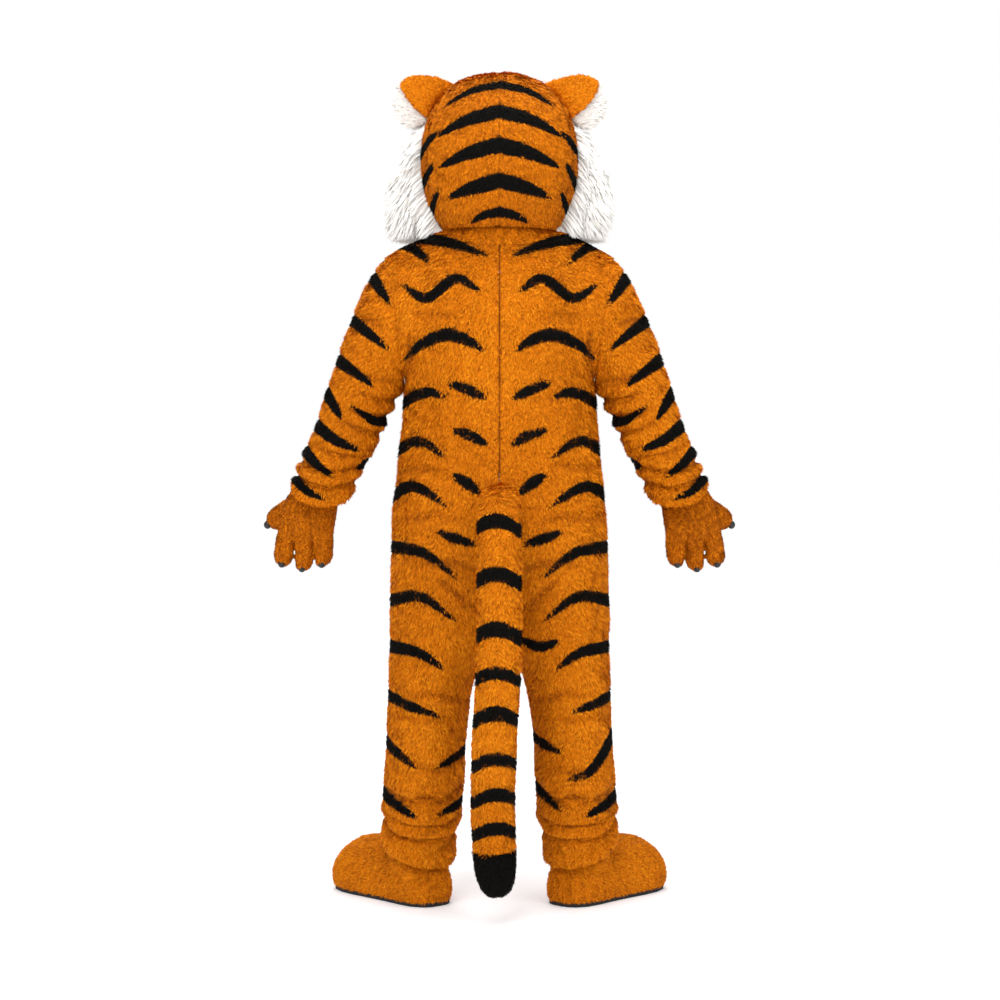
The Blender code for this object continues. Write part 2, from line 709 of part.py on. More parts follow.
def ear_lobe(outline, near, far):
    """A cupped lobe from the head's surface to its outline, between two depths behind the ear's middle layer."""
    grid = []
    edge = smooth_line(outline, 9)
    for share in np.linspace(0, 1, 5):
        row = []
        for f, tip in zip(np.linspace(0, 1, 9), edge):
            root = [low + (high - low) * f for low, high in zip(EAR_ROOT_LOW, EAR_ROOT_HIGH)]
            foot = on_head([(root[0], 0, root[1])], GAP * 4)[0]
            x = foot[0] + (tip["x"] - foot[0]) * share
            height = foot[2] + (tip["height"] - foot[2]) * share
            away = math.hypot(x - foot[0], height - foot[2])
            row.append((x, -EAR_CUP * away**2, height))
        grid.append(row)
    grid = np.array(grid)
    return wall(grid + (0, far, 0), grid + (0, near, 0))


def cheek_fur():
    """The reach of the long fur on one cheek."""
    rings = []
    for section in CHEEK:
        middle = (section["inner_x"] + section["outer_x"]) / 2
        half = (section["outer_x"] - section["inner_x"]) / 2
        rings.append([(middle + half * math.cos(2 * math.pi * j / CHEEK_SIDES),
                       section["middle_y"] + section["half_depth"] * math.sin(2 * math.pi * j / CHEEK_SIDES),
                       section["height"]) for j in range(CHEEK_SIDES)])
    return capped_tube(rings)


# ---------------------------------------------------------------- gloves

def palm(inset, sides=12):
    """The palm and wrist as one closed tube; inset makes it smaller, for the space inside."""
    rings = []
    for k, section in enumerate(PALM):
        height = section["height"] + (0.03 if inset and k == 0 else 0)
        height += inset if k == len(PALM) - 1 else 0
        rings.append([(section["x"] + (section["half_width"] - inset) * power(math.cos(a), 0.85),
                       section["y"] + (section["half_depth"] - inset) * power(math.sin(a), 0.85), height)
                      for a in [2 * math.pi * j / sides for j in range(sides)]])
    return capped_tube(rings)


def finger(row, inset, sides=8):
    """A finger with a round tip."""
    root = np.array([row["root_x"], row["root_y"], row["root_height"]])
    tip = np.array([row["tip_x"], row["tip_y"], row["tip_height"]])
    forward = unit(tip - root)
    sideways = unit(np.cross(forward, (0, 1, 0)))
    upright = np.cross(sideways, forward)
    radius = row["radius"] - inset
    end = np.linalg.norm(tip - root) - row["radius"] * 0.35
    rings = []
    for along, share in ((0, 0.85), (end * 0.5, 1.0), (end, 0.98), (end + radius * 0.6, 0.78), (end + radius, 0.3)):
        rings.append([root + forward * along + radius * share * (math.cos(a) * sideways + math.sin(a) * upright)
                      for a in [2 * math.pi * (j + 0.5) / sides for j in range(sides)]])
    return capped_tube(rings)


def hand(inset):
    """Palm, fingers and thumb in one solid."""
    solid = palm(inset)
    for row in FINGERS:
        solid = combined(solid, finger(row, inset), "UNION")
    return solid


def claw(row):
    """A short cone just past a fingertip."""
    root = np.array([row["root_x"], row["root_y"], row["root_height"]])
    tip = np.array([row["tip_x"], row["tip_y"], row["tip_height"]])
    forward = unit(tip - root)
    start = root + forward * (np.linalg.norm(tip - root) + row["radius"] * 0.65 + GAP * 2)
    sideways = unit(np.cross(forward, (0, 1, 0)))
    upright = np.cross(sideways, forward)
    rings = []
    for along, share in ((0, 1.0), (0.35, 0.95), (0.75, 0.6), (1.0, 0.15)):
        rings.append([start + forward * along * CLAW_LENGTH
                      + CLAW_RADIUS * share * (math.cos(a) * sideways + math.sin(a) * upright)
                      for a in [2 * math.pi * j / 8 for j in range(8)]])
    return capped_tube(rings)


# ---------------------------------------------------------------- feet

def foot_place(station, aside, height):
    """A point given along and across the foot, in the costume's frame."""
    return (ANKLE[0] + station * math.sin(SPLAY) + aside * math.cos(SPLAY),
            ANKLE[1] - station * math.cos(SPLAY) + aside * math.sin(SPLAY), height)


def foot_form(inset):
    """The foot's rounded form with a flat underside; inset makes it smaller and lets it run down past the floor."""
    base = SOLE_THICKNESS + GAP
    rings = []
    for section in FOOT:
        station = section["station"]
        if inset:
            station *= 1 - inset / 0.066 if station < 0 else 1 - inset / 0.26
        half_width = max(section["half_width"] - inset, 0.012)
        top = section["top"] - base - inset
        floor = -0.01 if inset else 0.0
        start = math.asin(FOOT_BELLY / (1 - FOOT_BELLY))
        ring = []
        for j in range(FOOT_SIDES):
            angle = -start + (math.pi + 2 * start) * j / (FOOT_SIDES - 1)
            height = top * (FOOT_BELLY + (1 - FOOT_BELLY) * math.sin(angle))
            if j in (0, FOOT_SIDES - 1):
                height = floor
            ring.append(foot_place(station, half_width * math.cos(angle), base + height))
        rings.append(ring)
    return capped_tube(rings)


def ankle_form(inset):
    """The ankle's tube, from inside the foot up into the trouser leg."""
    rings = []
    for height, share in ((0.05, 0.86), (0.10, 0.96), (0.135, 1.0), (ANKLE_TOP + (0.02 if inset else 0), 0.97)):
        radius = ANKLE_RADIUS * share - inset
        rings.append([(ANKLE[0] + radius * math.cos(a), ANKLE[1] + radius * math.sin(a), height)
                      for a in [2 * math.pi * j / 14 for j in range(14)]])
    return capped_tube(rings)


def foot_upper():
    """The plush upper: open to the sole below and to the leg above."""
    outside = combined(foot_form(0), ankle_form(0), "UNION")
    inside = combined(foot_form(PAD), ankle_form(PAD), "UNION")
    return combined(outside, inside, "DIFFERENCE")


def foot_sole():
    """The flat sole, following the foot's outline."""
    share = math.cos(math.asin(FOOT_BELLY / (1 - FOOT_BELLY)))
    left = [(row["station"], row["half_width"] * share + SOLE_RIM) for row in FOOT]
    ends = [(FOOT[0]["station"] - SOLE_RIM, 0.0), (FOOT[-1]["station"] + SOLE_RIM, 0.0)]
    outline = [ends[0]] + left + [ends[1]] + [(station, -aside) for station, aside in reversed(left)]
    return capped_tube([[foot_place(station, aside, height) for station, aside in outline]
                        for height in (0, SOLE_THICKNESS)])


# ---------------------------------------------------------------- the costume

def build():
    """Every piece, in the order that a maker would cut them."""
    for old in list(bpy.data.objects):
        bpy.data.objects.remove(old)
    orange = plush("orange_plush", (0.62, 0.16, 0.01), 0.9)
    black = plush("black_plush", (0.012, 0.011, 0.010), 0.9)
    white = plush("white_fur", (0.85, 0.83, 0.80), 0.9)
    gloss = plush("black_plastic", (0.01, 0.01, 0.01), 0.15)
    rubber = plush("sole_rubber", (0.02, 0.02, 0.02), 0.6)
    tape = plush("zip_tape", (0.10, 0.04, 0.01), 0.7)

    for side in ("back", "front"):
        place_pair("body_" + side + "_{}", body_panel(side), orange)
    place("back_zip", back_zip(), tape)
    place_pair("sleeve_{}", sleeve(), orange)
    place("collar", collar(), orange)
    place("tail_body", tail_body(), orange)
    place("tail_tip", tail_tip(), black)

    crown, gore, face = (seam_points(rows) for rows in (CROWN_SEAM, GORE_SEAM, FACE_SEAM))
    place_pair("head_crown_{}", head_panel(crown, gore, 3), orange)
    place_pair("head_side_{}", head_panel(gore, face, 3), orange)
    place("head_face", head_face(), orange)
    domes = {row["name"]: row for row in DOMES}
    place("muzzle", dome(domes["muzzle"], rings=5, sides=16), white)
    place("chin", dome(domes["chin"]), white)
    place("nose", dome(domes["nose"], under=domes["muzzle"], rings=3, sides=10), gloss)
    place_pair("eye_{}", dome(domes["eye_left"], rings=3, sides=10), gloss)
    place_pair("ear_back_{}", ear_lobe(EAR_BACK_OUTLINE, EAR_EASE, EAR_EASE + EAR_THICKNESS), orange)
    place_pair("ear_front_{}", ear_lobe(EAR_FRONT_OUTLINE, -EAR_THICKNESS, 0), white)
    place_pair("cheek_fur_{}", cheek_fur(), white)

    place_pair("glove_{}", combined(hand(0), hand(PAD), "DIFFERENCE"), orange)
    for number, row in enumerate(FINGERS, start=1):
        place_pair("claw_{}_" + str(number), claw(row), gloss)
    place_pair("foot_upper_{}", foot_upper(), orange)
    place_pair("foot_sole_{}", foot_sole(), rubber)


build()
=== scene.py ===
"""The looks of a tiger mascot costume: creased plush shells, their fur, the face and a plain studio.

Metres, +Z up, facing -Y, the wearer's left at +X.  Heights in the tables are above the floor.
"""

import json
import math

import bmesh
import bpy
import numpy as np
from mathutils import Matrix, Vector

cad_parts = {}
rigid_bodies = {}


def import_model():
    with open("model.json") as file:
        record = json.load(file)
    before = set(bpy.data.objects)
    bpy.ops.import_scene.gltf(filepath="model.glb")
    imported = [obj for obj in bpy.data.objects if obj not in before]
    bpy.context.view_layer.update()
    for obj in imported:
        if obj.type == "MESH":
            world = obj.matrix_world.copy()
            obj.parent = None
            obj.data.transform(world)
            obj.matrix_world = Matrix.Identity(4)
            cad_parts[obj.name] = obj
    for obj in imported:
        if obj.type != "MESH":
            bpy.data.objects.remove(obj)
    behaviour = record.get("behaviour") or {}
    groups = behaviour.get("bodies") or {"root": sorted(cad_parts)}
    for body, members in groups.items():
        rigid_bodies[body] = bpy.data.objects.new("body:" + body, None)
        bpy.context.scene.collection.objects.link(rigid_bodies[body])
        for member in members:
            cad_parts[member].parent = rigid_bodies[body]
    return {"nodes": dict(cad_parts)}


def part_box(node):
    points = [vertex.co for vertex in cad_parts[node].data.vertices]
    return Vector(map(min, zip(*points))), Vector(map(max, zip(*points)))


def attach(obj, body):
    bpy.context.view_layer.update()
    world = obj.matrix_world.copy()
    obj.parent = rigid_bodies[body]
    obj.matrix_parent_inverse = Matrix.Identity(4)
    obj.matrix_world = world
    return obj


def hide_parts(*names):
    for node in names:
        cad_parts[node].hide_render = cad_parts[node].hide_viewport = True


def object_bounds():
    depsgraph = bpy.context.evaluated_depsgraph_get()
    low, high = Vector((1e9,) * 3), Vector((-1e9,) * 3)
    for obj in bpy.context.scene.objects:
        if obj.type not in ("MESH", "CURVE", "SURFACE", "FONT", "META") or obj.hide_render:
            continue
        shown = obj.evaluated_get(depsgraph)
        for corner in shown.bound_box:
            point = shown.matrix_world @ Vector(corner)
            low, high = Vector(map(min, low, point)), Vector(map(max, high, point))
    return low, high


for old in list(bpy.data.objects):
    bpy.data.objects.remove(old)
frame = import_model()
cad_box = [[float(value) for value in corner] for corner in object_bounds()]
FLOOR = cad_box[0][2]        # the origin is at the neck, so the floor is far below it

# Sizes
BACKING = 0.0025             # the plush's woven back, without its pile
FOAM = 0.006                 # the head's and ears' foam that still shows at their edges
PUSH = 0.0020                # subdivision draws a round form in; the shell is moved out again by this
SEAM_PARTING = 0.006         # the pile is short this near a seam
EDGE_JITTER = 0.0010         # how far the pile of one colour strays into the other
CROSSING_REST = 0.22         # the least share of its length that is left of a blade at a stripe's edge
STRIPE_REACH = 0.030         # beyond this a stripe's distance no longer matters
BACKING_BLACK = 0.0040       # the backing is black this far past a stripe, so no orange shows in the pile
BACKING_FADE = 0.004         # and turns orange over this distance
PILE_COVERS = 0.0060         # the pile above a stripe hides this much of its width, so it is laid wider
RIM_WIDTH = 0.006            # a cloth wall's rim is narrower than this, its faces are wider
CREASE_FULL_DEPTH = 0.006    # from this depth on, no light reaches into a crease
CREASE_REACH = 6             # beyond this many of its widths a crease does nothing
CURVE_STEPS = 8              # straight pieces between two points of a stripe or crease
FACE_BLEND = 0.05            # a crease of one face fades out over this distance at the sides
CORNER = math.radians(60)    # a wall turns into its rim past this angle
END_CORNER = math.radians(65)  # a closed form keeps its ends flat past this angle
MOST_BLADES = 195000         # a piece stays under 200,000 triangles
ROOT_DEPTH = 0.0006          # a blade starts this far inside the cloth
TAIL_RADIUS = 0.046
EAR_ROOT = 1.69              # height of the point that the ears' pile lies away from
CHEEK_DEPTHS = (-0.15, 0.012)     # where on the head's side the long fur is sewn
CHEEK_HEIGHTS = (1.475, 1.712)
CHEEK_BASE_INSET = 0.004     # the fur's base lies this far inside its solid
FUR_HANG = 0.012             # the lowest tufts hang this far below the solid
CLAW_SIZE = (0.0170, 0.0150, 0.0185)
CLAW_MOVE = Vector((0, 0.0115, 0.0085))    # from the middle of the solid's cone into the fingertip's fur
THUMB_MOVE = Vector((0, 0.0080, -0.0010))
THUMB_ABOVE = 0.775          # the thumbs' claws are above this height
CAMERA_PLACE = (-0.0011, 4.2, 0.888)       # its last value is a height above the floor
CAMERA_LENS = 68.2           # millimetres, on a 36 mm sensor


def rows_of(columns, *rows):
    """Rows of values under named columns."""
    names = columns.split()
    return [dict(zip(names, row)) for row in rows]


# Stripes: (x, height) points from the outer end inwards.  A wrapping stripe starts past the outline, so it
# goes round to the other face at its full width; a free one is pointed at both ends.
BODY_STRIPES = rows_of(
    "side    width  wraps  points",
    ("both",  0.022, True,  ((0.188, 1.473), (0.098, 1.443), (0.026, 1.414))),
    ("both",  0.022, True,  ((0.236, 1.462), (0.196, 1.446), (0.146, 1.400))),
    ("both",  0.017, False, ((0.213, 1.358), (0.157, 1.325), (0.093, 1.363), (0.041, 1.333))),
    ("both",  0.021, False, ((0.209, 1.192), (0.165, 1.226), (0.117, 1.242), (0.075, 1.233), (0.032, 1.206))),
    ("both",  0.015, False, ((0.112, 1.140), (0.066, 1.125), (0.026, 1.105))),
    ("both",  0.020, True,  ((0.230, 1.096), (0.160, 1.121), (0.113, 1.109))),
    ("both",  0.016, False, ((0.104, 1.041), (0.064, 1.028), (0.022, 1.006))),
    ("both",  0.020, True,  ((0.240, 0.992), (0.174, 1.016), (0.112, 0.979))),
    ("both",  0.016, False, ((0.102, 0.944), (0.070, 0.926), (0.038, 0.900))),
    ("both",  0.021, True,  ((0.252, 0.889), (0.186, 0.918), (0.104, 0.873))),
    ("both",  0.015, False, ((0.136, 0.824), (0.092, 0.806), (0.046, 0.792))),
    ("both",  0.020, True,  ((0.257, 0.788), (0.167, 0.777), (0.089, 0.720))),
    ("both",  0.020, True,  ((0.257, 0.663), (0.172, 0.681), (0.094, 0.628))),
    ("right", 0.015, False, ((0.132, 0.585), (0.083, 0.573), (0.040, 0.592))),
    ("both",  0.020, True,  ((0.257, 0.569), (0.178, 0.560), (0.118, 0.523))),
    ("left",  0.018, True,  ((0.262, 0.466), (0.190, 0.442), (0.122, 0.418))),
    ("right", 0.018, True,  ((0.262, 0.467), (0.205, 0.446), (0.152, 0.430))),
    ("left",  0.018, True,  ((0.262, 0.366), (0.218, 0.336), (0.176, 0.308))),
    ("left",  0.015, True,  ((0.050, 0.352), (0.100, 0.326), (0.140, 0.307))),
    ("right", 0.016, True,  ((0.048, 0.380), (0.100, 0.356), (0.142, 0.339))),
    ("right", 0.018, True,  ((0.262, 0.388), (0.198, 0.303), (0.142, 0.283))),
    ("left",  0.018, True,  ((0.270, 0.252), (0.222, 0.224), (0.176, 0.200))),
    ("left",  0.014, True,  ((0.066, 0.234), (0.104, 0.217), (0.138, 0.204))),
    ("right", 0.016, True,  ((0.052, 0.278), (0.098, 0.243), (0.138, 0.211))),
    ("right", 0.018, True,  ((0.272, 0.248), (0.226, 0.222), (0.180, 0.202))),
)
SLEEVE_STRIPES = rows_of(
    "side    width  wraps  points",
    ("both",  0.019, True,  ((0.296, 1.402), (0.262, 1.352), (0.236, 1.312))),
    ("both",  0.020, True,  ((0.346, 1.302), (0.292, 1.258), (0.238, 1.214))),
    ("both",  0.020, True,  ((0.376, 1.214), (0.322, 1.172), (0.272, 1.135))),
    ("both",  0.019, True,  ((0.396, 1.146), (0.366, 1.102), (0.341, 1.063))),
    ("both",  0.016, True,  ((0.212, 1.082), (0.268, 1.061), (0.322, 1.094))),
    ("both",  0.020, True,  ((0.420, 1.068), (0.358, 1.020), (0.301, 0.996))),
    ("both",  0.019, True,  ((0.444, 1.014), (0.404, 0.970), (0.363, 0.938))),
    ("both",  0.010, True,  ((0.288, 0.974), (0.302, 0.966), (0.316, 0.956))),
    ("both",  0.015, True,  ((0.474, 0.956), (0.450, 0.932), (0.415, 0.904), (0.373, 0.890))),
)
HEAD_STRIPES = rows_of(
    "side    width  wraps  points",
    ("both",  0.012, True,  ((0.000, 1.785), (0.062, 1.771), (0.118, 1.743))),
    ("both",  0.024, True,  ((0.000, 1.720), (0.070, 1.703), (0.136, 1.675))),
    ("both",  0.016, True,  ((0.198, 1.630), (0.160, 1.664), (0.130, 1.686))),
    ("both",  0.026, True,  ((0.000, 1.647), (0.068, 1.630), (0.132, 1.606))),
    ("both",  0.016, True,  ((0.192, 1.556), (0.162, 1.594), (0.140, 1.620))),
    ("both",  0.025, True,  ((0.000, 1.572), (0.060, 1.558), (0.114, 1.541))),
    ("both",  0.015, True,  ((0.168, 1.502), (0.148, 1.532), (0.131, 1.562))),
    ("both",  0.012, True,  ((0.000, 1.508), (0.034, 1.502), (0.066, 1.489))),
)
FACE_STRIPES = rows_of(
    "side    width  wraps  points",
    ("both",  0.012, True,  ((0.000, 1.782), (0.030, 1.777), (0.058, 1.766))),
    ("both",  0.012, True,  ((0.000, 1.757), (0.026, 1.752), (0.048, 1.742))),
    ("both",  0.011, True,  ((0.000, 1.732), (0.016, 1.728), (0.030, 1.720))),
    ("both",  0.014, True,  ((0.165, 1.720), (0.132, 1.706), (0.108, 1.700))),
    ("both",  0.014, True,  ((0.170, 1.652), (0.136, 1.652), (0.112, 1.658))),
    ("both",  0.013, True,  ((0.165, 1.600), (0.140, 1.606), (0.120, 1.614))),
)
TAIL_RINGS = rows_of(
    "height  width",
    (0.846,  0.028),
    (0.736,  0.031),
    (0.622,  0.031),
    (0.532,  0.026),
    (0.448,  0.029),
    (0.354,  0.026),
    (0.280,  0.026),
    (0.210,  0.026),
)
RING_ARCH = 0.020            # how much lower a tail ring is at its sides

# Creases given as (x, height) points on one face; a deep one has a roll of cloth above it
CREASES = rows_of(
    "part     side     face     depth   width  points",
    # trouser hem: a ridge at its edge, then the bunched rolls above it
    ("body",   "both",  "back", -0.0060, 0.009, ((0.290, 0.168), (0.256, 0.150), (0.219, 0.119),
          (0.167, 0.110), (0.099, 0.114), (0.055, 0.152))),
    ("body",   "both",  "all",   0.0120, 0.0065, ((0.285, 0.212), (0.256, 0.190), (0.241, 0.167),
          (0.213, 0.156), (0.156, 0.150), (0.104, 0.153), (0.084, 0.176), (0.055, 0.205))),
    ("body",   "both",  "back",  0.0080, 0.0075, ((0.262, 0.212), (0.213, 0.186), (0.160, 0.179),
          (0.110, 0.185), (0.068, 0.210))),
    ("body",   "both",  "back",  0.0110, 0.011, ((0.270, 0.275), (0.241, 0.253), (0.196, 0.236),
          (0.156, 0.246), (0.127, 0.235), (0.082, 0.263), (0.060, 0.280))),
    ("body",   "both",  "front", 0.0060, 0.011, ((0.270, 0.260), (0.220, 0.240), (0.150, 0.236),
          (0.060, 0.262))),
    ("body",   "left",  "back",  0.0030, 0.012, ((0.085, 0.322), (0.130, 0.303), (0.190, 0.322))),
    ("body",   "right", "back",  0.0030, 0.012, ((0.240, 0.330), (0.180, 0.300), (0.120, 0.312))),
    ("body",   "both",  "back",  0.0034, 0.014, ((0.070, 0.445), (0.140, 0.470), (0.196, 0.466))),
    ("body",   "both",  "back",  0.0028, 0.013, ((0.225, 0.425), (0.170, 0.412), (0.120, 0.424))),
    ("body",   "both",  "front", 0.0030, 0.014, ((0.090, 0.500), (0.150, 0.508), (0.215, 0.498))),
    ("body",   "both",  "all",   0.0050, 0.012, ((0.020, 0.630), (0.075, 0.672), (0.130, 0.722))),
    ("body",   "both",  "back",  0.0038, 0.014, ((0.040, 0.735), (0.100, 0.755), (0.180, 0.748))),
    ("body",   "both",  "back",  0.0028, 0.015, ((0.225, 0.845), (0.150, 0.856), (0.080, 0.846))),
    ("body",   "right", "back",  0.0026, 0.014, ((0.235, 0.968), (0.170, 0.962), (0.100, 0.970))),
    ("body",   "left",  "back",  0.0028, 0.014, ((0.235, 0.950), (0.175, 0.958), (0.110, 0.950))),
    ("body",   "both",  "front", 0.0032, 0.015, ((0.220, 0.940), (0.150, 0.930), (0.070, 0.938))),
    ("body",   "both",  "all",   0.0060, 0.012, ((0.210, 1.130), (0.198, 1.190), (0.192, 1.260))),
    ("body",   "both",  "back",  0.0024, 0.015, ((0.190, 1.300), (0.140, 1.286), (0.080, 1.290))),
    # the sleeve's edge and the rolls pushed up above it
    ("sleeve", "both",  "back", -0.0065, 0.010, ((0.485, 0.960), (0.462, 0.925), (0.443, 0.896),
          (0.402, 0.873), (0.360, 0.870), (0.322, 0.915), (0.306, 0.940))),
    ("sleeve", "both",  "front", -0.0050, 0.010, ((0.480, 0.960), (0.455, 0.928), (0.400, 0.904),
          (0.340, 0.908), (0.310, 0.935))),
    ("sleeve", "both",  "all",   0.0090, 0.0075, ((0.475, 0.965), (0.443, 0.940), (0.410, 0.925),
          (0.369, 0.916), (0.323, 0.930), (0.300, 0.945))),
    ("sleeve", "both",  "all",   0.0085, 0.0075, ((0.455, 0.995), (0.435, 0.975), (0.406, 0.958),
          (0.369, 0.952), (0.332, 0.956), (0.290, 0.975))),
    ("sleeve", "both",  "back",  0.0060, 0.008, ((0.275, 0.990), (0.320, 0.984), (0.365, 0.992),
          (0.400, 1.010))),
    ("sleeve", "both",  "front", 0.0050, 0.009, ((0.430, 1.030), (0.380, 1.004), (0.320, 0.998),
          (0.270, 1.010))),
    # elbow
    ("sleeve", "both",  "all",   0.0075, 0.009, ((0.205, 1.118), (0.262, 1.108), (0.310, 1.126))),
    ("sleeve", "both",  "all",   0.0070, 0.009, ((0.215, 1.082), (0.278, 1.074), (0.330, 1.090))),
    ("sleeve", "both",  "all",   0.0055, 0.009, ((0.240, 1.036), (0.290, 1.040), (0.345, 1.062))),
    ("sleeve", "both",  "back",  0.0045, 0.011, ((0.225, 1.150), (0.285, 1.156), (0.345, 1.180))),
    ("sleeve", "both",  "front", 0.0045, 0.011, ((0.290, 1.116), (0.335, 1.134), (0.380, 1.150))),
    ("sleeve", "both",  "back",  0.0034, 0.012, ((0.345, 1.262), (0.290, 1.284), (0.245, 1.262))),
    # gloves: the grooves between the fingers, and two folds over the palm
    ("glove",  "both",  "all",   0.0050, 0.0045, ((0.463, 0.830), (0.461, 0.802), (0.459, 0.770),
          (0.458, 0.735))),
    ("glove",  "both",  "all",   0.0050, 0.0045, ((0.421, 0.830), (0.419, 0.802), (0.416, 0.770),
          (0.413, 0.735))),
    ("glove",  "both",  "back",  0.0024, 0.007, ((0.470, 0.846), (0.430, 0.836), (0.385, 0.848))),
    ("glove",  "both",  "back",  0.0018, 0.006, ((0.455, 0.822), (0.425, 0.818), (0.392, 0.824))),
    # feet: under the trouser hem, and the heel's seam
    ("foot",   "both",  "all",   0.0060, 0.008, ((0.285, 0.150), (0.255, 0.131), (0.219, 0.104),
          (0.167, 0.094), (0.099, 0.098), (0.060, 0.110))),
    ("foot",   "both",  "back",  0.0030, 0.004, ((0.154, 0.112), (0.154, 0.065), (0.154, 0.012))),
)

# The pile on each kind of piece: length, how far it stands up in degrees, blades in a square centimetre,
# and tone
PILE = {
    "body_back": (0.0112, 25, 16.0, 0.03),
    "body_front": (0.0112, 25, 11.0, 0.03),
    "sleeve": (0.0112, 26, 18.0, 0.03),
    "collar": (0.0100, 24, 20.0, -0.05),
    "head_crown": (0.0100, 19, 20.0, -0.14),
    "head_side": (0.0100, 19, 20.0, -0.14),
    "head_face": (0.0070, 24, 17.0, -0.05),
    "tail_body": (0.0105, 24, 16.0, 0.03),
    "tail_tip": (0.0085, 26, 24.0, 0.00),
    "ear_back": (0.0080, 24, 24.0, 0.10),
    "ear_front": (0.0150, 22, 26.0, 0.10),
    "glove": (0.0064, 25, 26.0, -0.34),
    "foot_upper": (0.0085, 24, 17.0, -0.02),
    "muzzle": (0.0070, 26, 22.0, 0.00),
    "chin": (0.0070, 26, 24.0, 0.00),
}
BLADE_WIDTH = 0.0034
LONG_FUR = {"length": 0.058, "width": 0.0066, "lift": 14, "tufts": 6200, "side_tufts": 4200}


# ---------------------------------------------------------------- small helpers

def select_only(piece):
    """Only this piece is selected and active."""
    for other in bpy.data.objects:
        other.select_set(False)
    piece.select_set(True)
    bpy.context.view_layer.objects.active = piece


def piece_of(mesh, name):
    """A named object that shows a mesh."""
    piece = bpy.data.objects.new(name, mesh)
    bpy.context.scene.collection.objects.link(piece)
    return piece


def apply(piece, kind, **settings):
    """Adds one modifier with its settings and applies it."""
    select_only(piece)
    modifier = piece.modifiers.new(kind.title(), kind)
    for key, value in settings.items():
        setattr(modifier, key, value)
    bpy.ops.object.modifier_apply(modifier=modifier.name)


def points_of(piece):
    """The mesh's points as rows."""
    points = np.zeros(len(piece.data.vertices) * 3, np.float32)
    piece.data.vertices.foreach_get("co", points)
    return points.reshape(-1, 3).astype(float)


def normals_of(piece):
    """The mesh's point normals as rows."""
    return np.array([vertex.normal[:] for vertex in piece.data.vertices])


def move_points(piece, points):
    """Puts the mesh's points where the rows say."""
    piece.data.vertices.foreach_set("co", np.asarray(points, np.float32).ravel())
    piece.data.update()


def unit(vectors):
    """Vectors of length one."""
    return vectors / np.maximum(np.linalg.norm(vectors, axis=-1, keepdims=True), 1e-9)


def drift(points, scale, seed):
    """A smooth random value from about -1 to 1 that changes over a given distance."""
    source = np.random.default_rng(seed)
    total = np.zeros(len(points))
    for _ in range(6):
        wave = unit(source.normal(size=3)) * 2 * math.pi / (scale * source.uniform(0.7, 1.5))
        total += np.sin(points @ wave + source.uniform(0, 2 * math.pi))
    return total / 2.6


def curve_through(points):
    """A smooth line through a few points, with the share of its way at each step."""
    points = np.array(points, float)
    slopes = np.gradient(points, axis=0)
    line = []
    for k in range(len(points) - 1):
        for f in np.linspace(0, 1, CURVE_STEPS, endpoint=False):
            line.append((2 * f**3 - 3 * f**2 + 1) * points[k] + (f**3 - 2 * f**2 + f) * slopes[k]
                        + (3 * f**2 - 2 * f**3) * points[k + 1] + (f**3 - f**2) * slopes[k + 1])
    line.append(points[-1])
    return np.array(line), np.linspace(0, 1, len(line))


def both_sides(rows):
    """The rows' lines as smooth curves, mirrored where the side asks for it."""
    found = []
    for row in rows:
        line, shares = curve_through(row["points"])
        line[:, 1] += FLOOR
        for side, sign in (("left", 1), ("right", -1)):
            if row["side"] in ("both", side):
                found.append((row, line * (sign, 1), shares))
    return found


def nearest(flat, line, shares):
    """Each point's distance to a line, how far along it, and on which side (above is positive)."""
    best = np.full(len(flat), 1.0)
    along = np.zeros(len(flat))
    above = np.zeros(len(flat))
    for k in range(len(line) - 1):
        start, step = line[k], line[k + 1] - line[k]
        f = np.clip(((flat - start) @ step) / (step @ step), 0, 1)
        away = flat - start - f[:, None] * step
        distance = np.hypot(away[:, 0], away[:, 1])
        closer = distance < best
        best[closer] = distance[closer]
        along[closer] = (shares[k] + f * (shares[k + 1] - shares[k]))[closer]
        above[closer] = np.sign(away[closer, 1])
    return best, along, above


def stripe_depth(points, rows):
    """How far each point is outside the nearest stripe; inside one it is below zero."""
    flat = points[:, [0, 2]]
    depth = np.full(len(points), STRIPE_REACH)
    for row, line, shares in both_sides(rows):
        low, high = line.min(0) - STRIPE_REACH, line.max(0) + STRIPE_REACH
        near = np.flatnonzero(np.all((flat > low) & (flat < high), axis=1))
        if len(near) == 0:
            continue
        distance, along, _ = nearest(flat[near], line, shares)
        half = (row["width"] + PILE_COVERS) / 2
        if row["wraps"]:
            half = half * (1 - along**2) ** 0.7
        else:
            half = half * np.sin(math.pi * np.clip(along, 0.001, 0.999)) ** 0.6
        depth[near] = np.minimum(depth[near], distance - half)
    return depth


def ring_depth(points):
    """The same for the rings round the tail."""
    low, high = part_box("tail_body")
    middle = (low.x + high.x) / 2
    sideways = np.clip(np.abs(points[:, 0] - middle) / TAIL_RADIUS, 0, 1)
    height = points[:, 2] - FLOOR + RING_ARCH * sideways**2
    depth = np.full(len(points), STRIPE_REACH)
    for row in TAIL_RINGS:
        depth = np.minimum(depth, np.abs(height - row["height"]) - row["width"] / 2)
    return depth


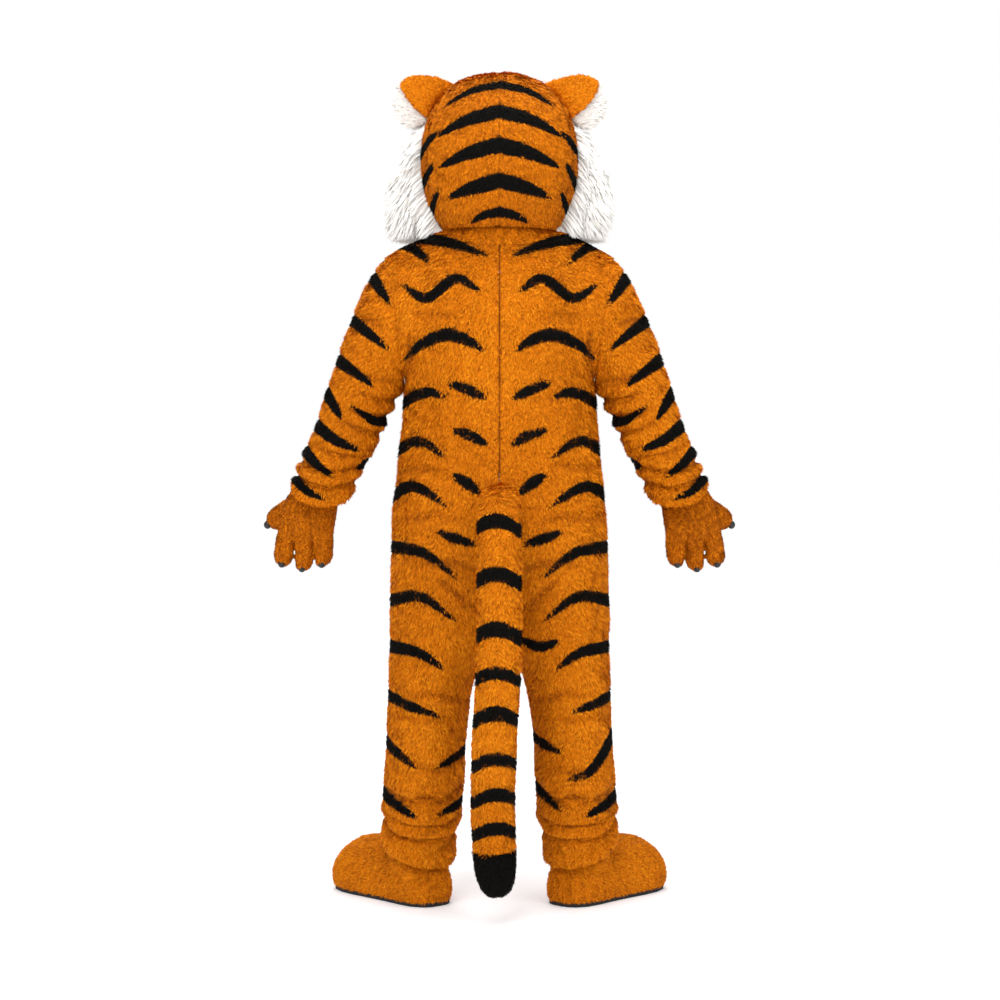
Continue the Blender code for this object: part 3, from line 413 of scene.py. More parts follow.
def creases_at(points, part):
    """How far one part's creases move each point along its normal, and how deep in a trough it is, 0 to 1:
    how much painted shade the pile gets there.
    """
    flat = points[:, [0, 2]]
    shift = np.zeros(len(points))
    crease_shade = np.zeros(len(points))
    for row, line, shares in both_sides([row for row in CREASES if row["part"] == part]):
        reach = CREASE_REACH * row["width"]
        near = np.flatnonzero(np.all((flat > line.min(0) - reach) & (flat < line.max(0) + reach), axis=1))
        if len(near) == 0:
            continue
        distance, along, above = nearest(flat[near], line, shares)
        on_face = np.ones(len(near))
        if row["face"] != "all":
            sign = 1 if row["face"] == "back" else -1
            on_face = np.clip(sign * points[near, 1] / FACE_BLEND, 0, 1)
        fade = np.sin(math.pi * np.clip(along, 0.02, 0.98)) ** 0.5 * on_face
        trough = np.exp(-(distance / row["width"]) ** 2)
        roll = np.exp(-((distance * above - 2.0 * row["width"]) / (1.3 * row["width"])) ** 2)
        shift[near] += fade * row["depth"] * (0.55 * roll - trough)
        sharp = np.exp(-(distance / (0.6 * row["width"])) ** 2)
        crease_shade[near] = np.maximum(crease_shade[near], fade * sharp * min(row["depth"] / CREASE_FULL_DEPTH, 1.0))
    return shift, crease_shade


# ---------------------------------------------------------------- shells and padded forms

def merged_copy(node):
    """A copy of a CAD node's mesh with its loose triangles joined up."""
    copy = bmesh.new()
    copy.from_mesh(frame["nodes"][node].data)
    bmesh.ops.remove_doubles(copy, verts=copy.verts, dist=0.00001)
    return copy


def narrowest(face):
    """A triangle's smallest height."""
    longest = max(edge.calc_length() for edge in face.edges)
    return 2 * face.calc_area() / longest


def keep_outer_wall(copy, rim_width):
    """Keeps the stretch that faces out.  Rims are narrow, or past a sharp outward edge."""
    copy.faces.ensure_lookup_table()
    waiting = {face for face in copy.faces if narrowest(face) > rim_width}
    middle = sum((vertex.co for vertex in copy.verts), Vector()) / len(copy.verts)
    stretches = []
    while waiting:
        stack = [waiting.pop()]
        stretch = list(stack)
        while stack:
            for edge in stack.pop().edges:
                if len(edge.link_faces) != 2 or edge.calc_face_angle_signed() > CORNER:
                    continue
                for face in edge.link_faces:
                    if face in waiting:
                        waiting.discard(face)
                        stack.append(face)
                        stretch.append(face)
        stretches.append(stretch)

    def facing_out(faces):
        return sum(face.calc_area() * face.normal.dot(face.calc_center_median() - middle) for face in faces)

    kept = set(max(stretches, key=facing_out))
    bmesh.ops.delete(copy, geom=[face for face in copy.faces if face not in kept], context="FACES")


def quads_of(copy):
    """Joins the triangles into the four-sided faces that they came from."""
    bmesh.ops.join_triangles(copy, faces=copy.faces, angle_face_threshold=CORNER,
                             angle_shape_threshold=CORNER)


def piece_from(copy, name):
    """An object that holds a finished bmesh."""
    mesh = bpy.data.meshes.new(name)
    copy.to_mesh(mesh)
    copy.free()
    return piece_of(mesh, name)


def soft_skin(node, name, levels, part=None, rim_width=RIM_WIDTH, sharp_ends=False):
    """A smooth skin with its creases, on a CAD node's outer wall or on all of a closed one (no rim width)."""
    copy = merged_copy(node)
    if rim_width is not None:
        keep_outer_wall(copy, rim_width)
    quads_of(copy)
    if sharp_ends:
        crease = copy.edges.layers.float.new("crease_edge")
        for edge in copy.edges:
            edge[crease] = float(edge.calc_face_angle(0) > END_CORNER)
    piece = piece_from(copy, name)
    apply(piece, "SUBSURF", levels=levels, render_levels=levels, boundary_smooth="PRESERVE_CORNERS")
    points = points_of(piece)
    shift = PUSH + 0.0012 * drift(points, 0.09, 7)
    if part:
        shift = shift + creases_at(points, part)[0]
    move_points(piece, points + normals_of(piece) * shift[:, None])
    return piece


def padded_skin(node, name, voxel, smoothing, swell, part):
    """A closed, rounded form on a CAD node's outer wall, its open ends filled."""
    copy = merged_copy(node)
    keep_outer_wall(copy, 0)
    bmesh.ops.holes_fill(copy, edges=copy.edges, sides=0)
    bmesh.ops.triangulate(copy, faces=[face for face in copy.faces if len(face.verts) > 4])
    bmesh.ops.recalc_face_normals(copy, faces=copy.faces)
    piece = piece_from(copy, name)
    apply(piece, "REMESH", mode="VOXEL", voxel_size=voxel)
    apply(piece, "SMOOTH", factor=0.5, iterations=smoothing)
    points = points_of(piece)
    shift = swell + creases_at(points, part)[0]
    move_points(piece, points + normals_of(piece) * shift[:, None])
    return piece


def thicken(piece, thickness):
    """Gives a skin its wall, on its inner side."""
    apply(piece, "SOLIDIFY", thickness=thickness, offset=-1.0, use_rim=True, use_even_offset=False)
    piece.data.shade_smooth()


def skin_facts(piece):
    """What the pile needs to know of a skin: points, triangles, normals and distance to the nearest seam."""
    points = points_of(piece)
    piece.data.calc_loop_triangles()
    triangles = np.array([t.vertices[:] for t in piece.data.loop_triangles])
    edge_map = bmesh.new()
    edge_map.from_mesh(piece.data)
    rim = np.array([vertex.co[:] for vertex in edge_map.verts if vertex.is_boundary])
    edge_map.free()
    seam = np.full(len(points), 1.0)
    if len(rim):
        for start in range(0, len(points), 4000):
            block = points[start:start + 4000]
            seam[start:start + 4000] = np.linalg.norm(block[:, None] - rim[None], axis=2).min(1)
    return {"points": points, "triangles": triangles, "normals": normals_of(piece), "seam": seam}


# ---------------------------------------------------------------- pile

def triangle_areas(facts):
    """The area of each triangle of a skin."""
    corners = facts["points"][facts["triangles"]]
    across, up = corners[:, 1] - corners[:, 0], corners[:, 2] - corners[:, 0]
    return np.linalg.norm(np.cross(across, up), axis=1) / 2


def skin_area(facts):
    """The area of a skin."""
    return triangle_areas(facts).sum()


def scatter(facts, count, seed):
    """Evenly spread random places on a skin: points, normals, seam distances and the random source."""
    source = np.random.default_rng(seed)
    areas = triangle_areas(facts)
    reach = np.cumsum(areas)
    places = (np.arange(count) + source.random(count)) / count * reach[-1]
    chosen = np.minimum(np.searchsorted(reach, places), len(areas) - 1)
    a, b = source.random(count), source.random(count)
    over = a + b > 1
    a[over], b[over] = 1 - a[over], 1 - b[over]
    weights = np.stack([1 - a - b, a, b], axis=1)
    corner_ids = facts["triangles"][chosen]

    def mix(values):
        return (values[corner_ids] * weights.reshape(weights.shape + (1,) * (values.ndim - 1))).sum(1)

    return mix(facts["points"]), unit(mix(facts["normals"])), mix(facts["seam"]), source


def nap_downward(points):
    """The pile lies straight down."""
    return np.tile((0.0, 0.0, -1.0), (len(points), 1))


def away_from_middle(points, aside, back, up):
    """One direction for all the pile, mirrored between the costume's left and right."""
    side = np.sign(points[:, :1])
    return np.concatenate([aside * side, np.full_like(side, back), np.full_like(side, up)], axis=1)


def nap_along_sleeve(points):
    """The pile lies down along the arm."""
    return away_from_middle(points, 0.36, -0.04, -1.0)


def nap_from_nose(points):
    """The pile runs from the nose over the head and then down its back."""
    low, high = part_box("nose")
    nose = np.array([0, low.y, (low.z + high.z) / 2])
    return (points - nose) * 0.6 + (0, 0, -0.16)


def nap_over_head(points):
    """The pile runs back over the crown and then down."""
    return np.stack([2.5 * points[:, 0], np.full(len(points), 0.06), np.full(len(points), -1.0)], axis=1)


def nap_to_toe(points):
    """The pile lies along the foot and down its sides."""
    return away_from_middle(points, 0.5, -0.6, -0.6)


def nap_outward(points):
    """The pile of an ear lies out from the head."""
    return points - (0, 0, EAR_ROOT + FLOOR)


def blades(name, facts, pile, nap, colour_at, seed, part=None):
    """Short pile: flat tapered blades lying along the nap, each with a tone of its colour."""
    length, lift, density, shade = pile
    count = int(min(skin_area(facts) * 10000 * density, MOST_BLADES))
    roots, normals, seam, source = scatter(facts, count, seed)
    lie = nap(roots)
    lie = unit(lie - (lie * normals).sum(1, keepdims=True) * normals)
    aside = np.cross(lie, normals)
    turn = 0.50 * drift(roots, 0.026, seed + 1) + 0.50 * drift(roots, 0.011, seed + 2)
    turn = (turn + source.normal(0, 0.14, count))[:, None]
    lie = unit(lie * np.cos(turn) + aside * np.sin(turn))
    aside = np.cross(lie, normals)
    angle = np.radians(lift + 7 * drift(roots, 0.010, seed + 3) + source.normal(0, 5, count))
    angle = np.clip(angle, 0.12, 0.9)[:, None]
    forward = lie * np.cos(angle) + normals * np.sin(angle)
    parting = np.clip(seam / SEAM_PARTING, 0.55, 1)
    if part:
        below = creases_at(roots + lie * length * 0.8, part)[1]
        crease_shade = creases_at(roots, part)[1]
        parting = parting * (1 - 0.5 * np.maximum(crease_shade, below))
    reach = (length * source.uniform(0.70, 1.15, count) * parting)[:, None]
    half = (BLADE_WIDTH / 2 * source.uniform(0.7, 1.3, count))[:, None]
    roll = (0.35 * drift(roots, 0.006, seed + 5) + source.normal(0, 0.25, count))[:, None]
    half = half * (aside * np.cos(roll) + normals * np.sin(roll))
    tone = 0.50 + shade + 0.10 * drift(roots, 0.008, seed + 4) + 0.06 * drift(roots, 0.15, 3)
    tone += source.normal(0, 0.15, count) - 0.30 * np.clip(1 - seam / SEAM_PARTING, 0, 1)
    if part:
        # painted shade: the pile is darker deep in a crease's trough
        tone -= 0.75 * crease_shade
    bands, share = colour_at(roots, roots + forward * reach, np.clip(tone, 0.02, 0.98), source)
    start = roots - normals * ROOT_DEPTH
    corners = np.stack([start - half, start + half, start + forward * reach * share[:, None]], axis=1)
    return blade_mesh(name, corners, bands, np.tile((0.0, 0.0, 1.0), (count, 1)))


def blade_mesh(name, corners, bands, heights):
    """A mesh of loose blades; the UV map holds each one's tone and the height along it."""
    count, size = corners.shape[:2]
    mesh = bpy.data.meshes.new(name)
    mesh.vertices.add(count * size)
    mesh.vertices.foreach_set("co", corners.astype(np.float32).ravel())
    order = [(0, 1, 2)] if size == 3 else [(0, 1, 3), (0, 3, 2), (2, 3, 4)]
    loops = (np.arange(count)[:, None, None] * size + np.array(order)[None]).ravel()
    mesh.loops.add(len(loops))
    mesh.loops.foreach_set("vertex_index", loops.astype(np.int32))
    mesh.polygons.add(count * len(order))
    mesh.polygons.foreach_set("loop_start", np.arange(0, len(loops), 3, dtype=np.int32))
    layer = mesh.uv_layers.new(name="OFBake")
    places = np.stack([np.repeat(bands[:, None], size, axis=1), heights], axis=2).reshape(-1, 2)
    layer.data.foreach_set("uv", places[loops].astype(np.float32).ravel())
    mesh.update(calc_edges=True)
    mesh.shade_smooth()
    return piece_of(mesh, name)


ORANGE_BAND = (0.02, 0.70)   # where the shades of each colour lie across the pile's colour table
BLACK_BAND = (0.76, 0.84)
WHITE_BAND = (0.90, 0.98)


def in_band(band, tone):
    """A tone's place in a colour's band."""
    return band[0] + (band[1] - band[0]) * tone


def two_colours(depth_at, roots, tips, tone, source):
    """Black where a blade's root is inside a stripe, and how much of its length stays in its own colour."""
    stray = source.normal(0, EDGE_JITTER, len(roots))
    at_root, at_tip = depth_at(roots) + stray, depth_at(tips) + stray
    black = at_root < 0
    bands = np.where(black, in_band(BLACK_BAND, tone), in_band(ORANGE_BAND, tone))
    share = np.abs(at_root) / np.maximum(np.abs(at_root) + np.abs(at_tip), 1e-6)
    share = np.clip(share + np.where(black, 0.30, 0.0), CROSSING_REST, 1)
    return bands, np.where(black != (at_tip < 0), share, 1.0)


def among(rows):
    """The distance outside these stripes, for any points."""
    return lambda points: stripe_depth(points, rows)


def marked(depth_at):
    """Orange, with black where the depth is below zero."""
    return lambda roots, tips, tone, source: two_colours(depth_at, roots, tips, tone, source)


def plain(band):
    """All one colour."""
    return lambda roots, tips, tone, source: (in_band(band, tone), np.ones(len(roots)))


ALL_ORANGE, ALL_BLACK, ALL_WHITE = plain(ORANGE_BAND), plain(BLACK_BAND), plain(WHITE_BAND)


# ---------------------------------------------------------------- materials

def material(name, **constants):
    """A material with its shader's plain values set."""
    made = bpy.data.materials.new(name)
    made.use_nodes = True
    shader = made.node_tree.nodes["Principled BSDF"]
    for key, value in constants.items():
        shader.inputs[key.replace("_", " ")].default_value = value
    return made, made.node_tree.nodes, made.node_tree.links, shader


def ramp(nodes, stops):
    """A colour ramp with its stops."""
    node = nodes.new("ShaderNodeValToRGB")
    elements = node.color_ramp.elements
    while len(elements) < len(stops):
        elements.new(0.5)
    for element, (place, colour) in zip(elements, stops):
        element.position = place
        element.color = (*colour, 1)
    return node


def tone_and_height(nodes, links):
    """The sockets of a blade's tone and of the height along it, from its UV map."""
    place = nodes.new("ShaderNodeUVMap")
    place.uv_map = "OFBake"
    apart = nodes.new("ShaderNodeSeparateXYZ")
    links.new(place.outputs["UV"], apart.inputs["Vector"])
    return apart.outputs["X"], apart.outputs["Y"]


def multiplied(nodes, links, first, second, result):
    """Two colours multiplied into a socket."""
    mix = nodes.new("ShaderNodeMix")
    mix.data_type = "RGBA"
    mix.blend_type = "MULTIPLY"
    mix.inputs["Factor"].default_value = 1
    links.new(first, mix.inputs["A"])
    links.new(second, mix.inputs["B"])
    links.new(mix.outputs["Result"], result)


ORANGE_DARK = (0.300, 0.066, 0.0010)
ORANGE_MIDDLE = (0.720, 0.198, 0.0020)
ORANGE_LIGHT = (0.980, 0.370, 0.0110)
BLACK = (0.0018, 0.0017, 0.0014)
BLACK_LIGHT = (0.0042, 0.0040, 0.0034)
WHITE = (0.97, 0.955, 0.93)
WHITE_DARK = (0.86, 0.83, 0.79)


def grain_group():
    """Fine grain shared by the cloth backings: a mask and a height."""
    group = bpy.data.node_groups.new("pile_grain", "ShaderNodeTree")
    group.interface.new_socket("Vector", in_out="INPUT", socket_type="NodeSocketVector")
    group.interface.new_socket("Scale", in_out="INPUT", socket_type="NodeSocketFloat")
    group.interface.new_socket("Mask", in_out="OUTPUT", socket_type="NodeSocketFloat")
    group.interface.new_socket("Height", in_out="OUTPUT", socket_type="NodeSocketFloat")
    nodes, links = group.nodes, group.links
    entry, leave = nodes.new("NodeGroupInput"), nodes.new("NodeGroupOutput")
    coarse, fine = nodes.new("ShaderNodeTexNoise"), nodes.new("ShaderNodeTexNoise")
    finer = nodes.new("ShaderNodeMath")
    finer.operation = "MULTIPLY"
    finer.inputs[1].default_value = 6  # the height's grain is this many times finer than the mask's
    links.new(entry.outputs["Vector"], coarse.inputs["Vector"])
    links.new(entry.outputs["Vector"], fine.inputs["Vector"])
    links.new(entry.outputs["Scale"], coarse.inputs["Scale"])
    links.new(entry.outputs["Scale"], finer.inputs[0])
    links.new(finer.outputs[0], fine.inputs["Scale"])
    coarse.inputs["Detail"].default_value = 5
    links.new(coarse.outputs["Fac"], leave.inputs["Mask"])
    links.new(fine.outputs["Fac"], leave.inputs["Height"])
    return group


GRAIN = grain_group()


def place_grain(made, nodes, links, shader, scale, strength, distance):
    """Puts the shared grain into one material: its height as bump.  Returns the mask's socket."""
    place = nodes.new("ShaderNodeTexCoord")
    grain = nodes.new("ShaderNodeGroup")
    grain.node_tree = GRAIN
    grain.inputs["Scale"].default_value = scale
    bump = nodes.new("ShaderNodeBump")
    bump.inputs["Strength"].default_value = strength
    bump.inputs["Distance"].default_value = distance
    links.new(place.outputs["Object"], grain.inputs["Vector"])
    links.new(grain.outputs["Height"], bump.inputs["Height"])
    links.new(bump.outputs["Normal"], shader.inputs["Normal"])
    return grain.outputs["Mask"]


def backing_material():
    """The woven and sheared plush under the pile, black where the stripes are."""
    made, nodes, links, shader = material("plush_backing", Roughness=0.9, Specular_IOR_Level=0.1)
    mask = place_grain(made, nodes, links, shader, 60, 0.6, 0.002)
    orange = ramp(nodes, ((0.30, ORANGE_DARK), (0.60, ORANGE_MIDDLE)))
    links.new(mask, orange.inputs["Fac"])
    stripe = nodes.new("ShaderNodeAttribute")
    stripe.attribute_name = "black"
    mix = nodes.new("ShaderNodeMix")
    mix.data_type = "RGBA"
    mix.inputs["B"].default_value = (*BLACK, 1)
    links.new(stripe.outputs["Fac"], mix.inputs["Factor"])
    links.new(orange.outputs["Color"], mix.inputs["A"])
    links.new(mix.outputs["Result"], shader.inputs["Base Color"])
    return made


def white_backing_material():
    """The white plush under the long fur."""
    made, nodes, links, shader = material("white_backing", Roughness=0.9, Specular_IOR_Level=0.1)
    mask = place_grain(made, nodes, links, shader, 60, 0.5, 0.002)
    white = ramp(nodes, ((0.30, WHITE_DARK), (0.65, WHITE)))
    links.new(mask, white.inputs["Fac"])
    links.new(white.outputs["Color"], shader.inputs["Base Color"])
    return made


def pile_material():
    """The blades: a colour band across, darker at the root and paler at the tip: painted shade along each
    blade.
    """
    made, nodes, links, shader = material("plush_pile", Roughness=0.70, Sheen_Weight=0.02,
                                          Sheen_Roughness=0.4, Specular_IOR_Level=0.07)
    shader.inputs["Sheen Tint"].default_value = (1.0, 0.70, 0.35, 1)
    tone, height = tone_and_height(nodes, links)
    across = ramp(nodes, (
        (ORANGE_BAND[0], ORANGE_DARK), (0.36, ORANGE_MIDDLE), (ORANGE_BAND[1], ORANGE_LIGHT),
        (0.73, BLACK), (BLACK_BAND[1], BLACK_LIGHT), (0.87, WHITE_DARK), (WHITE_BAND[1], WHITE)))
    links.new(tone, across.inputs["Fac"])
    # painted shade: each blade darkens towards its root
    up = ramp(nodes, ((0.0, (0.55, 0.48, 0.44)), (0.45, (0.92, 0.90, 0.88)), (1.0, (1.0, 1.0, 1.0))))
    links.new(height, up.inputs["Fac"])
    multiplied(nodes, links, across.outputs["Color"], up.outputs["Color"], shader.inputs["Base Color"])
    return made


def long_fur_material():
    """Long white tufts, darker and a little warmer at the root: painted shade."""
    made, nodes, links, shader = material("long_white_fur", Roughness=0.6, Specular_IOR_Level=0.2)
    tone, height = tone_and_height(nodes, links)
    # painted shade: each tuft darkens towards its root
    up = ramp(nodes, ((0.0, WHITE_DARK), (0.5, WHITE), (1.0, (0.93, 0.92, 0.90))))
    links.new(height, up.inputs["Fac"])
    across = ramp(nodes, ((0.0, (0.90, 0.89, 0.87)), (1.0, (1.0, 1.0, 1.0))))
    links.new(tone, across.inputs["Fac"])
    multiplied(nodes, links, up.outputs["Color"], across.outputs["Color"], shader.inputs["Base Color"])
    return made


def hard_material(name, dark, light, roughness, scale, strength, coat=0.0):
    """Moulded plastic or rubber with faint wear in its colour and a fine surface."""
    made, nodes, links, shader = material(name, Roughness=roughness, Coat_Weight=coat, Coat_Roughness=0.08)
    mask = place_grain(made, nodes, links, shader, scale, strength, 0.0005)
    colour = ramp(nodes, ((0.35, dark), (0.75, light)))
    links.new(mask, colour.inputs["Fac"])
    links.new(colour.outputs["Color"], shader.inputs["Base Color"])
    return made


def zip_material():
    """Dark tape whose coil shows as small dots up the middle."""
    made, nodes, links, shader = material("zip_coil", Roughness=0.8, Specular_IOR_Level=0.1)
    place = nodes.new("ShaderNodeTexCoord")
    coil = nodes.new("ShaderNodeTexWave")
    coil.wave_type = "BANDS"
    coil.bands_direction = "Z"
    coil.inputs["Scale"].default_value = 70
    links.new(place.outputs["Object"], coil.inputs["Vector"])
    colour = ramp(nodes, ((0.35, (0.150, 0.034, 0.002)), (0.60, (0.360, 0.092, 0.004))))
    links.new(coil.outputs["Fac"], colour.inputs["Fac"])
    links.new(colour.outputs["Color"], shader.inputs["Base Color"])
    bump = nodes.new("ShaderNodeBump")
    bump.inputs["Distance"].default_value = 0.0006
    links.new(coil.outputs["Fac"], bump.inputs["Height"])
    links.new(bump.outputs["Normal"], shader.inputs["Normal"])
    return made


MATERIALS = {
    "backing": backing_material(),
    "white_backing": white_backing_material(),
    "pile": pile_material(),
    "long_fur": long_fur_material(),
    "gloss": hard_material("black_gloss", (0.006, 0.006, 0.006), (0.016, 0.015, 0.014), 0.16, 40, 0.1,
                           coat=0.5),
    "claw": hard_material("claw_black", (0.002, 0.002, 0.002), (0.006, 0.006, 0.006), 0.38, 40, 0.1,
                          coat=0.05),
    "rubber": hard_material("sole_rubber_black", (0.004, 0.004, 0.004), (0.012, 0.012, 0.011), 0.8, 90, 0.5),
    "zip": zip_material(),
}


# ---------------------------------------------------------------- pieces

def paint(piece, key):
    """Gives a piece its material and fixes it to the costume."""
    piece.data.materials.clear()
    piece.data.materials.append(MATERIALS[key])
    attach(piece, "root")
    return piece


def mark_black(piece, depth_at):
    """Stores how black the backing is at each point."""
    points = points_of(piece)
    black = np.clip(0.5 - (depth_at(points) - BACKING_BLACK) / BACKING_FADE, 0, 1)
    piece.data.attributes.new("black", "FLOAT", "POINT").data.foreach_set("value", black.astype(np.float32))


def no_stripes(points):
    """Nowhere is black."""
    return np.full(len(points), STRIPE_REACH)


def furred(node, kind, nap, colour_at, depth_at, seed, levels=2, part=None, rim_width=RIM_WIDTH,
           thickness=BACKING, padded=None, backing="backing", sharp_ends=False):
    """One piece of the costume and the pile on it.  Returns both, and what is known of the skin.

    padded holds the voxel, the smoothing and the swell of a closed rounded form."""
    if padded:
        piece = padded_skin(node, node + "_form", *padded, part)
    else:
        piece = soft_skin(node, node + "_shell", levels, part, rim_width, sharp_ends)
    facts = skin_facts(piece)
    pile = blades(node + "_pile", facts, PILE[kind], nap, colour_at, seed, part)
    if rim_width is not None and not padded:
        thicken(piece, thickness)
    piece.data.shade_smooth()
    mark_black(piece, depth_at)
    paint(piece, backing)
    paint(pile, "pile")
    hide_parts(node)
    return piece, pile, facts


def sides():
    """Both sides with a number that keeps their random draws apart."""
    return (("left", 0), ("right", 50))


def jumpsuit():
    """Body panels, sleeves and collar: cloth, with the cut that each was made from."""
    body, arm = among(BODY_STRIPES), among(SLEEVE_STRIPES)
    for side, number in sides():
        for face in ("back", "front"):
            kind = "body_" + face
            made = furred(kind + "_" + side, kind, nap_downward, marked(body), body,
                          100 + number + len(face), part="body")
        made = furred("sleeve_" + side, "sleeve", nap_along_sleeve, marked(arm), arm,
                      120 + number, levels=3, part="sleeve")
    made = furred("collar", "collar", nap_downward, marked(body), body, 140)


def tail():
    """The stuffed tail with its rings and black tip."""
    for node, colour_at, depth_at, slot in (
            ("tail_body", marked(ring_depth), ring_depth, "orange_plush"),
            ("tail_tip", ALL_BLACK, lambda points: no_stripes(points) - 1, "black_plush")):
        piece, _, _ = furred(node, node, nap_downward, colour_at, depth_at, 150, levels=3,
                             rim_width=None, sharp_ends=True)


def head():
    """The foam head's plush panels, the face and the ears.  Returns what is known of each side's skin."""
    side_facts = {}
    stripes, marks = among(HEAD_STRIPES), among(FACE_STRIPES)
    for side, number in sides():
        for kind in ("head_crown", "head_side"):
            piece, _, facts = furred(kind + "_" + side, kind, nap_over_head, marked(stripes), stripes,
                                     160 + number + len(kind), levels=3, rim_width=0,
                                     thickness=FOAM)
        side_facts[side] = facts
        piece, _, _ = furred("ear_back_" + side, "ear_back", nap_outward, ALL_ORANGE, no_stripes,
                             200 + number, rim_width=None)
        piece, _, _ = furred("ear_front_" + side, "ear_front", nap_outward, ALL_WHITE, no_stripes,
                             220 + number, rim_width=None, backing="white_backing")
    piece, _, _ = furred("head_face", "head_face", nap_from_nose, marked(marks), marks, 240,
                         rim_width=0, thickness=FOAM)
    for node in ("muzzle", "chin"):
        piece, _, _ = furred(node, node, nap_from_nose, ALL_WHITE, no_stripes, 250 + len(node),
                             rim_width=None, backing="white_backing")
    return side_facts


def hands_and_feet():
    """Padded gloves and feet."""
    for side, number in sides():
        piece, _, _ = furred("glove_" + side, "glove", nap_downward, ALL_ORANGE, no_stripes,
                             300 + number, part="glove", padded=(0.0032, 2, 0.0022))
        piece, _, _ = furred("foot_upper_" + side, "foot_upper", nap_to_toe, ALL_ORANGE, no_stripes,
                             320 + number, part="foot", padded=(0.0055, 3, 0.0035))


def cheek_part(facts):
    """The part of a head side's skin that the long fur is sewn to."""
    middles = facts["points"][facts["triangles"]].mean(1)
    depths, heights = middles[:, 1], middles[:, 2]
    inside = ((depths > CHEEK_DEPTHS[0]) & (depths < CHEEK_DEPTHS[1])
              & (heights > CHEEK_HEIGHTS[0] + FLOOR) & (heights < CHEEK_HEIGHTS[1] + FLOOR))
    return dict(facts, triangles=facts["triangles"][inside])


def cheek_fur(side, number, side_facts):
    """The long white fur on one cheek: a slim padded base, and curved tufts on it and the head beside it."""
    node = "cheek_fur_" + side
    base = soft_skin(node, node + "_base", 2, rim_width=None)
    points = points_of(base)
    move_points(base, points - normals_of(base) * CHEEK_BASE_INSET)
    base.data.shade_smooth()
    paint(base, "white_backing")
    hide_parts(node)
    roots, normals, _, source = scatter(skin_facts(base), LONG_FUR["tufts"], 400 + number)
    more_roots, more_normals, _, _ = scatter(cheek_part(side_facts), LONG_FUR["side_tufts"], 410 + number)
    roots, normals = np.concatenate([roots, more_roots]), np.concatenate([normals, more_normals])
    sign = 1 if side == "left" else -1
    count = len(roots)
    low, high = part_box(node)
    drop = np.clip((high.z - roots[:, 2]) / (high.z - low.z), 0, 1)
    lie = np.stack([sign * (0.62 - 0.34 * drop), np.full(count, 0.22), np.full(count, -1.0)], axis=1)
    lie = lie + normals * (0.15 + 0.25 * source.random(count))[:, None]
    lie = lie + 0.20 * np.stack([drift(roots, 0.05, seed) for seed in (11, 12, 13)], axis=1)
    lie = unit(lie + source.normal(0, 0.09, (count, 3)))
    aside = unit(np.cross(lie, 0.5 * normals + (0, 1.0, 0.2) + source.normal(0, 0.22, (count, 3))))
    length = (LONG_FUR["length"] * source.uniform(0.55, 1.1, count) * (0.60 + 0.40 * drop))[:, None]
    # no tuft hangs further than this below the solid
    room = np.maximum(roots[:, 2] - (low.z - FUR_HANG), FUR_HANG)[:, None]
    length = np.minimum(length, room / np.maximum(-lie[:, 2:], 0.3))
    half = (LONG_FUR["width"] / 2 * source.uniform(0.6, 1.2, count))[:, None]
    lift = normals * length * math.sin(math.radians(LONG_FUR["lift"]))
    middle = roots + lie * length * 0.5 + lift * 0.6
    tip = roots + lie * length + lift * 0.5
    corners = np.stack([roots - aside * half, roots + aside * half, middle - aside * half * 0.8,
                        middle + aside * half * 0.8, tip], axis=1)
    tufts = blade_mesh(node + "_tufts", corners, source.random(count),
                       np.tile((0.0, 0.0, 0.5, 0.5, 1.0), (count, 1)))
    paint(tufts, "long_fur")


def claws():
    """Each claw: a small rounded tip of black plastic that sits in the end of its finger."""
    for name in sorted(frame["nodes"]):
        if not name.startswith("claw"):
            continue
        low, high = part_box(name)
        middle = (low + high) / 2
        middle += THUMB_MOVE if middle.z > THUMB_ABOVE + FLOOR else CLAW_MOVE
        bpy.ops.mesh.primitive_uv_sphere_add(segments=24, ring_count=14, radius=0.5, location=middle)
        piece = bpy.context.active_object
        piece.name = name + "_tip"
        bpy.ops.object.mode_set(mode="EDIT")
        bpy.ops.mesh.select_all(action="SELECT")
        bpy.ops.transform.resize(value=CLAW_SIZE)
        bpy.ops.object.mode_set(mode="OBJECT")
        bpy.ops.object.transform_apply(location=True, rotation=True, scale=True)
        apply(piece, "SUBSURF", levels=1)
        piece.data.shade_smooth()
        paint(piece, "claw")
        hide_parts(name)


def hard_pieces():
    """Eyes, nose, soles and zip keep their solids and get their finish."""
    finishes = {"eye": "gloss", "nose": "gloss", "foot_sole": "rubber", "back_zip": "zip"}
    for name, node in frame["nodes"].items():
        for start, key in finishes.items():
            if name.startswith(start):
                node.data.materials.clear()
                node.data.materials.append(MATERIALS[key])


# ---------------------------------------------------------------- studio

def studio_floor():
    """A white floor whose glow grows with distance, so that it meets the white world unseen."""
    for other in bpy.data.objects:
        other.select_set(False)
    bpy.ops.mesh.primitive_plane_add(size=40, location=(0, 0, FLOOR - 0.0005))
    floor = bpy.context.active_object
    floor.name = "floor"
    bpy.ops.object.transform_apply(location=True, rotation=True, scale=True)
    made, nodes, links, shader = material("studio_floor", Roughness=0.9)
    shader.inputs["Base Color"].default_value = (0.93, 0.93, 0.93, 1)
    shader.inputs["Emission Strength"].default_value = 1
    place, length = nodes.new("ShaderNodeTexCoord"), nodes.new("ShaderNodeVectorMath")
    length.operation = "LENGTH"
    reach = nodes.new("ShaderNodeMapRange")
    reach.inputs["From Min"].default_value = 1.5
    reach.inputs["From Max"].default_value = 4.0
    glow = ramp(nodes, ((0.0, (0.16, 0.16, 0.165)), (1.0, (0.56, 0.56, 0.56))))
    links.new(place.outputs["Object"], length.inputs[0])
    links.new(length.outputs["Value"], reach.inputs["Value"])
    links.new(reach.outputs["Result"], glow.inputs["Fac"])
    links.new(glow.outputs["Color"], shader.inputs["Emission Color"])
    floor.data.materials.append(made)


